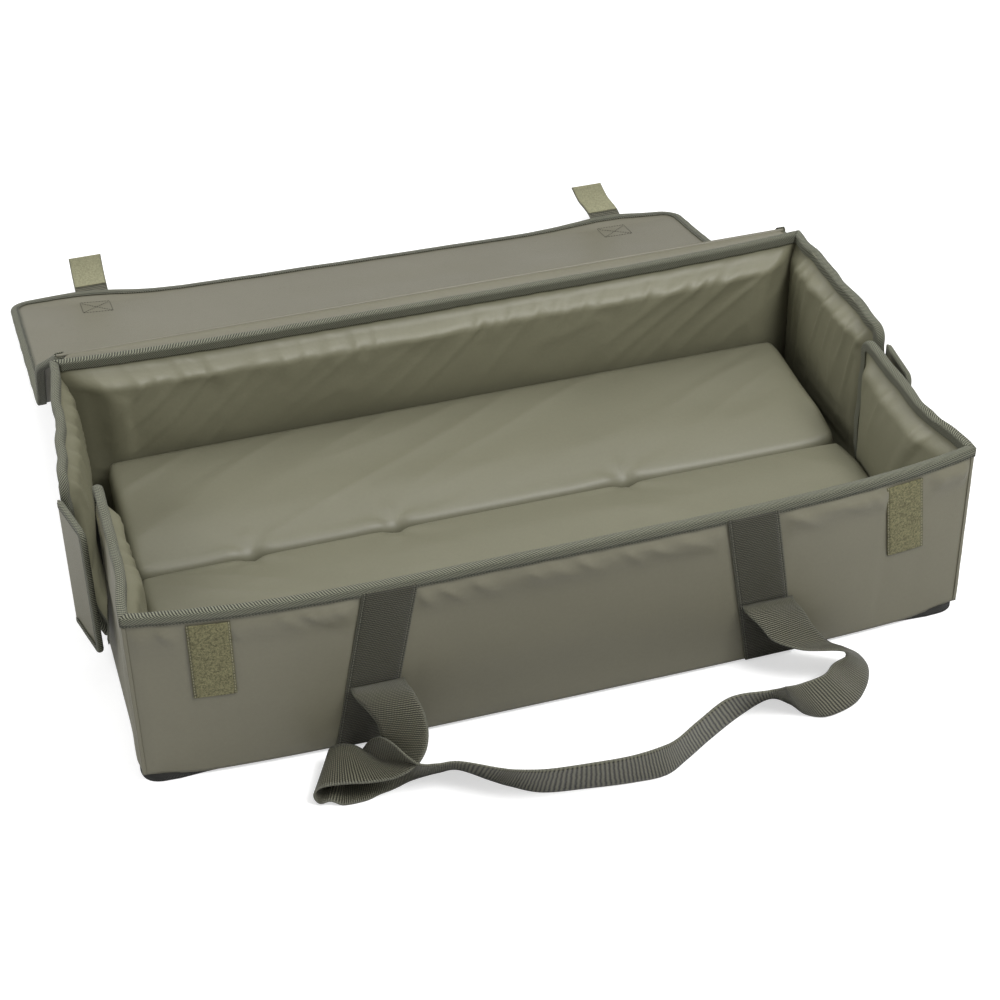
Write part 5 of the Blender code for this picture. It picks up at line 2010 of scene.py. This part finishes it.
@dataclass
class Lid:
    """The bound cover that hangs from the rear wall, with its two tabs."""

    tray: Tray
    wide: float = 0.824
    shift: float = -0.003
    long: float = 0.460
    thick: float = 0.0030
    reach: float = 0.0100
    corner: float = 0.024
    hinge_y: float = 0.219
    hinge_z: float = 0.1993
    crease_y: float = 0.3435
    crease_z: float = 0.060
    far_z: float = 0.0042
    tab_at: float = 0.317
    tab_wide: float = 0.038
    tab_long: float = 0.047
    tab_thick: float = 0.0018
    taper: float = 0.048
    sink: float = 0.0060
    root: float = 0.0028
    spine: list[tuple[Vector, float]] = field(default_factory=list)

    def prepare(self) -> None:
        """Work out the cover's side view once, as places and slopes along its length."""
        first = math.hypot(self.crease_y - self.hinge_y, self.hinge_z - self.crease_z)
        steep = -math.atan2(self.hinge_z - self.crease_z, self.crease_y - self.hinge_y)
        rest = self.long - first
        shallow = -math.asin((self.crease_z - self.far_z) / rest)
        steps = 460
        place = Vector((0, self.hinge_y, self.hinge_z))
        raw = []
        for index in range(steps + 1):
            run = self.long * index / steps
            bend = smooth((run - first + 0.022) / 0.044)
            slope = steep + (shallow - steep) * bend
            slope += 0.06 * near(run, 0.0, 0.035) - 0.10 * near(run, first * 0.62, 0.05)
            raw.append((place.copy(), slope))
            place = place + Vector((0, math.cos(slope), math.sin(slope))) * self.long / steps
        target = Vector((0, self.crease_y + rest * math.cos(shallow), self.far_z))
        miss = target - raw[-1][0]
        self.spine = [(spot + miss * (i / steps), slope) for i, (spot, slope) in enumerate(raw)]

    def profile(self, run: float) -> tuple[Vector, float]:
        """Return the place and slope of the side view at a distance from the hinge."""
        share = max(0.0, min(1.0, run / self.long)) * (len(self.spine) - 1)
        index = min(len(self.spine) - 2, int(share))
        here, there = self.spine[index], self.spine[index + 1]
        part = share - index
        return here[0].lerp(there[0], part), here[1] + (there[1] - here[1]) * part

    def point(self, across: float, run: float, away: float) -> Vector:
        """Return a place on the draped cover.

        Args:
            across: distance from the cover's middle.
            run: distance from its hinged edge.
            away: distance above its middle.

        Returns:
            The place.
        """
        spot, slope = self.profile(run)
        far = smooth((run - 0.19) / 0.25)
        x = across * (1 - self.taper * (1 - smooth(run, 0.060))) + self.shift
        normal = Vector((0, -math.sin(slope), math.cos(slope)))
        drape = 0.0035 * grain(x / 0.16, run / 0.11, 3.1) * smooth(run / 0.05)
        drape += 0.0016 * grain(x / 0.05 + run / 0.09, run / 0.13, 8.3) * smooth(run / 0.04)
        drape *= 1 - 0.7 * smooth((run - self.long + 0.10) / 0.05)
        lift = 0.008 * near(abs(x), self.tab_at, 0.06) * smooth((run - self.long + 0.026) / 0.026)
        skew = ((-x / self.wide * 2) * 0.014 + 0.016 * near(x, -self.wide / 2, 0.10)) * far
        level = max(0.0, 0.0028 - (spot.z + lift + drape))
        drop = self.sink * (1 - smooth(run, 0.075))
        place = spot + normal * (away + drape) + Vector((x, skew, lift + level - drop))
        return place

    def sheet_face(self, side: float) -> Place:
        """Return the map of one face of the cover's cloth.

        Args:
            side: 1 for the upper face, -1 for the lower one.

        Returns:
            The map.
        """
        edge = self.tray.tape + self.tray.gap

        def spot(s: float, t: float) -> Vector:
            """Map a share to a place on that side."""
            run = self.root + (self.long - edge - self.root) * t
            cut = self.corner - edge
            into = max(0.0, run - (self.long - self.corner)) / cut
            half = self.wide / 2 - edge - cut * (1 - math.sqrt(max(0.0, 1 - into * into)))
            return self.point((2 * s - 1) * half, run, side * self.thick / 2)

        return spot

    def edge(self, run: float) -> tuple[float, float, float, float]:
        """Follow the cover's bound edge from its left root to its right root.

        Args:
            run: distance along the edge.

        Returns:
            Across, distance from the hinge, and the inward direction in those two.
        """
        side = self.long - self.corner - self.root
        arc = math.pi / 2 * self.corner
        top = self.wide - 2 * self.corner
        if run < side:
            return -self.wide / 2, self.root + run, 1.0, 0.0
        run -= side
        if run < arc:
            angle = run / self.corner
            inward, back = math.cos(angle), math.sin(angle)
            across = -self.wide / 2 + self.corner * (1 - inward)
            return across, self.long - self.corner + self.corner * back, inward, -back
        run -= arc
        if run < top:
            return -self.wide / 2 + self.corner + run, self.long, 0.0, -1.0
        run -= top
        if run < arc:
            angle = run / self.corner
            inward, back = math.sin(angle), math.cos(angle)
            across = self.wide / 2 - self.corner * (1 - inward)
            return across, self.long - self.corner + self.corner * back, -inward, -back
        run -= arc
        return self.wide / 2, self.long - self.corner - run, -1.0, 0.0

    def build(self, wardrobe: Wardrobe) -> list[bpy.types.Object]:
        """Make the cover, its binding, hinge strip, tabs and stitched boxes.

        Args:
            wardrobe: dresses them.

        Returns:
            The pieces.
        """
        self.prepare()
        tray = self.tray
        size = (self.wide, self.long)
        cloth = Cloth("cover_cloth", 240, 150, self.sheet_face(1), size, self.sheet_face(-1)).build()
        wardrobe.dress(cloth, "lid")
        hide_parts("lid_root_panel", "lid_panel")
        sides = 2 * (self.long - self.corner - self.root)
        length = sides + math.pi * self.corner + self.wide - 2 * self.corner

        def bind(s: float, t: float) -> Vector:
            """Map a share to the binding, along the bound edge and across its tape."""
            across, run, da, dr = self.edge(s * length)
            depth, reach = tape_profile(t, tray, self.thick, self.reach)
            reach = max(0.0, reach) + 0.0005 * grain(s * length / 0.02, t * 2, 7.7)
            return self.point(across + da * reach, run + dr * reach, self.thick / 2 - depth)

        tape = Cloth("cover_binding", 700, 18, bind, (length, 0.024)).build()
        thicken(tape, 0.0011)
        wardrobe.dress(tape, "binding")
        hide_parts("lid_tape", "lid_root_tape_left", "lid_root_tape_right")
        boxes = self.stitched_boxes(wardrobe)
        for piece in (cloth, tape):
            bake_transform(piece)
        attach(boxes, "lid_far")
        return [cloth, tape, self.hinge_strip(wardrobe), boxes, *self.tabs(wardrobe)]

    def hinge_strip(self, wardrobe: Wardrobe) -> bpy.types.Object:
        """Make the strip of cloth that hangs the cover on the rear rim.

        Args:
            wardrobe: dresses it.

        Returns:
            The strip, bent between the rear half and the cover.
        """
        tray = self.tray
        half = tray.length / 2 - 0.009

        def place(s: float, t: float) -> Vector:
            """Map a share along and across the cloth to a place."""
            x = -half + 2 * half * s
            low = Vector((x, tray.rear_face(x, tray.height) + 0.0029, tray.height - 0.017))
            far = self.point(x - self.shift, 0.006, 0.0)
            top = Vector((x, (low.y + far.y) / 2, self.hinge_z - self.sink + 0.0016))
            return low * (1 - t) ** 2 + top * 2 * t * (1 - t) + far * t * t

        strip = Cloth("cover_hinge_strip", 260, 12, place, (2 * half, 0.022)).build()
        thicken(strip, 0.0010)
        wardrobe.dress(strip, "cover")
        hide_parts("lid_hinge_tape")
        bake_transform(strip)
        return strip

    def stitched_boxes(self, wardrobe: Wardrobe) -> bpy.types.Object:
        """Make the crossed boxes of stitches where the tabs are sewn on.

        Args:
            wardrobe: dresses the thread.

        Returns:
            One piece that holds both boxes.
        """
        bm = bmesh.new()
        bm.loops.layers.uv.new("Cloth")
        pitch, dash, radius = 0.0034, 0.0026, 0.00035
        for sign in (-1, 1):
            middle = sign * self.tab_at - self.shift
            left, right = middle - 0.017, middle + 0.017
            low, high = self.long - 0.052, self.long - 0.021
            corners = ((left, low), (right, low), (right, high), (left, high))
            lines = [(corners[i], corners[(i + 1) % 4]) for i in range(4)]
            lines += [(corners[0], corners[2]), (corners[1], corners[3])]
            for start, stop in lines:
                span = math.hypot(stop[0] - start[0], stop[1] - start[1])
                count = int(span / pitch)
                for index in range(count):
                    at = [(index * pitch + shift) / span for shift in (0.0002, dash)]
                    ends = []
                    for share in at:
                        across = start[0] + (stop[0] - start[0]) * share
                        run = start[1] + (stop[1] - start[1]) * share
                        ends.append(self.point(across, run, self.thick / 2 + radius * 0.7))
                    self.dash(bm, ends[0], ends[1], radius)
        boxes = finish_mesh("cover_tab_stitching", bm)
        return wardrobe.dress(boxes, "thread")

    def dash(self, bm: bmesh.types.BMesh, start: Vector, stop: Vector, radius: float) -> None:
        """Lay one stitch as a small capsule between two places."""
        made = bmesh.ops.create_uvsphere(bm, u_segments=6, v_segments=4, radius=radius)
        middle = (start + stop) / 2
        turn = (stop - start).to_track_quat("Z", "Y").to_matrix().to_4x4()
        stretch = Matrix.Scale((stop - start).length / (2 * radius), 4, (0, 0, 1))
        bmesh.ops.transform(bm, matrix=Matrix.Translation(middle) @ turn @ stretch, verts=made["verts"])

    def tabs(self, wardrobe: Wardrobe) -> list[bpy.types.Object]:
        """Make both tabs with their hook tape.

        Args:
            wardrobe: dresses them.

        Returns:
            The tabs and their hook tapes.
        """
        made = []
        for side, sign in (("left", -1), ("right", 1)):
            across = sign * self.tab_at - self.shift
            lean = 0.0 if side == "left" else -0.30
            root = self.point(across, self.long - 0.002, 0.0)
            slope = self.profile(self.long)[1]

            def place(
                s: float, t: float, root: Vector = root, slope: float = slope,
                lean: float = lean, off: float = 0.0,
            ) -> Vector:
                """Map a share along and across the cloth to a place."""
                run = s * self.tab_long
                share = s
                angle = slope + math.radians(30 + 42 * share)
                mean = slope + math.radians(30 + 21 * share)
                normal = Vector((0, -math.sin(angle), math.cos(angle)))
                side_way = (2 * t - 1) * self.tab_wide / 2
                spot = root + Vector((side_way, math.cos(mean) * run, math.sin(mean) * run))
                spot.x += lean * run * smooth(share * 1.5)
                curl = 0.0015 * (2 * t - 1) ** 2 * share
                return spot + normal * (off + curl)

            strap = Cloth(f"tab_{side}_strap", 36, 14, place, (self.tab_long, self.tab_wide)).build()
            thicken(strap, self.tab_thick * 0.8)
            wardrobe.dress(strap, "strap")
            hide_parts(f"tab_{side}")

            def over(s: float, t: float, place: Place = place) -> Vector:
                """Map a share to the hook tape on the tab."""
                return place(0.22 + 0.78 * s, 0.02 + 0.96 * t, off=self.tab_thick * 0.45 + 0.0008)

            hook = Cloth(f"tab_{side}_hook_tape", 30, 14, over, (self.tab_long * 0.78, self.tab_wide)).build()
            thicken(hook, 0.0011)
            wardrobe.dress(hook, "tab")
            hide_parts(f"tab_hook_{side}")
            for piece in (strap, hook):
                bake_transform(piece)
            made += [strap, hook]
        return made


# Studio


@dataclass(frozen=True)
class Studio:
    """The floor, the lights and the camera."""

    place: tuple[float, float, float] = (-0.5085, -1.7628, 1.4512)
    right: tuple[float, float, float] = (0.95685, -0.29003, -0.01784)
    down: tuple[float, float, float] = (-0.18762, -0.56976, -0.80011)
    ahead: tuple[float, float, float] = (0.2219, 0.76893, -0.59959)
    focal_share: float = 2.3107

    def floor(self) -> bpy.types.Object:
        """Make the plain pale floor."""
        bm = bmesh.new()
        bmesh.ops.create_grid(bm, x_segments=1, y_segments=1, size=8.0)
        bmesh.ops.translate(bm, verts=bm.verts, vec=(0, 0, -0.0002))
        ground = finish_mesh("floor", bm)
        material = bpy.data.materials.new("pale_floor")
        material.use_nodes = True
        shader = material.node_tree.nodes["Principled BSDF"]
        shader.inputs["Base Color"].default_value = (0.62, 0.62, 0.62, 1.0)
        shader.inputs["Roughness"].default_value = 0.8
        shader.inputs["Emission Color"].default_value = (1.0, 1.0, 1.0, 1.0)
        w = Wiring(material.node_tree)
        seen = w.add("ShaderNodeLightPath").outputs["Is Camera Ray"]
        w.feed(shader.inputs["Emission Strength"], w.sum("MULTIPLY", seen, 0.55))
        shader.inputs["Specular IOR Level"].default_value = 0.1
        ground.data.materials.append(material)
        return ground

    def camera(self) -> None:
        """Put the camera where the photograph was taken from."""
        data = bpy.data.cameras.new("camera")
        data.sensor_width = 36.0
        data.lens = self.focal_share * 36.0
        data.clip_start = 0.05
        camera = bpy.data.objects.new("camera", data)
        bpy.context.scene.collection.objects.link(camera)
        right, down, ahead = Vector(self.right), Vector(self.down), Vector(self.ahead)
        turn = Matrix((right, -down, -ahead)).transposed().to_4x4()
        camera.matrix_world = Matrix.Translation(self.place) @ turn
        bpy.context.scene.camera = camera

    def lamp(self, name: str, place: tuple[float, float, float], size: float, power: float) -> None:
        """Hang one soft square light, aimed at the tray.

        Args:
            name: its name.
            place: where it hangs.
            size: the length of its side.
            power: in watts.
        """
        data = bpy.data.lights.new(name, "AREA")
        data.shape = "SQUARE"
        data.size = size
        data.energy = power
        light = bpy.data.objects.new(name, data)
        bpy.context.scene.collection.objects.link(light)
        light.location = place
        aim = Vector((0.0, 0.1, 0.08)) - Vector(place)
        light.rotation_euler = aim.to_track_quat("-Z", "Y").to_euler()

    def build(self) -> None:
        """Set the floor, the camera, the world and the lights."""
        self.floor()
        self.camera()
        world = bpy.data.worlds.new("studio")
        world.use_nodes = True
        background = world.node_tree.nodes["Background"]
        background.inputs["Color"].default_value = (1.0, 1.0, 1.0, 1.0)
        background.inputs["Strength"].default_value = 0.60
        bpy.context.scene.world = world
        bpy.context.scene.view_settings.view_transform = "Standard"
        self.lamp("overhead", (0.1, 0.5, 2.6), 1.6, 16.0)
        self.lamp("front_right", (0.9, -1.4, 2.4), 0.9, 66.0)
        self.lamp("back_left", (-2.0, 1.3, 1.7), 1.0, 34.0)


def build_mat(wardrobe: Wardrobe, room: ClothRoom) -> None:
    """Build every sub-assembly in order and report its pieces.

    Args:
        wardrobe: dresses the pieces.
        room: settles the padded ones.
    """
    tray = Tray()
    walls = [LongWall(tray, True, 2.7), LongWall(tray, False, 6.1)]
    ends = [HalfEnd(tray, side, front, 3.0 + side + 5 * front) for side in (-1, 1) for front in (True, False)]
    for wall in (*walls, *ends):
        for piece in wall.build(wardrobe, room):
            if piece.parent is None:
                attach(piece, wall.body)
            LOG.info("%s: %d faces", piece.name, len(piece.data.polygons))
    rear_room = tray.rear_face(0, tray.pad_top) - tray.long_wall - 0.004
    front_room = tray.front_face(0, tray.foot) + tray.long_wall + 0.008
    pads = [
        Pad(tray, "pad_rear", tray.run_clear, rear_room, "rear_half", 4.2),
        Pad(tray, "pad_front", -tray.run_clear, front_room, "front_half", 9.4),
    ]
    pieces = [pad.build(wardrobe, room) for pad in pads]
    base = Base(tray)
    pieces += base.build(wardrobe)
    pieces.append(base.fold_strip(wardrobe))
    pieces += WallStraps(tray).build(wardrobe)
    turned = reversed(REAR_HALF[:-1])
    rear_route = REAR_HALF + tuple((-r[0], r[1], r[2], -r[3], r[4], r[5], r[6]) for r in turned)
    pieces.append(Handle(tray, "handle_front", True, FRONT_ROUTE, "front_handle", 0.080, 0.0).build(wardrobe))
    pieces.append(Handle(tray, "handle_rear", False, rear_route, "rear_handle").build(wardrobe))
    pieces += Closure(tray, -1, 13.0).build(wardrobe)
    pieces += Closure(tray, 1, 4.0).build(wardrobe)
    pieces += Lid(tray).build(wardrobe)
    room.run()
    for end in ends:
        if not end.front:
            lining = bpy.data.objects[f"end_lining_{end.title}_padded"]
            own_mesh(lining)
    for piece in pieces:
        LOG.info("%s: %d faces", piece.name, len(piece.data.polygons))


def main() -> None:
    """Build the studio and the mat."""
    logging.basicConfig(level=logging.INFO, format="%(name)s: %(message)s")
    Studio().build()
    build_mat(Wardrobe(Palette()), ClothRoom())


if __name__ == "__main__":
    main()
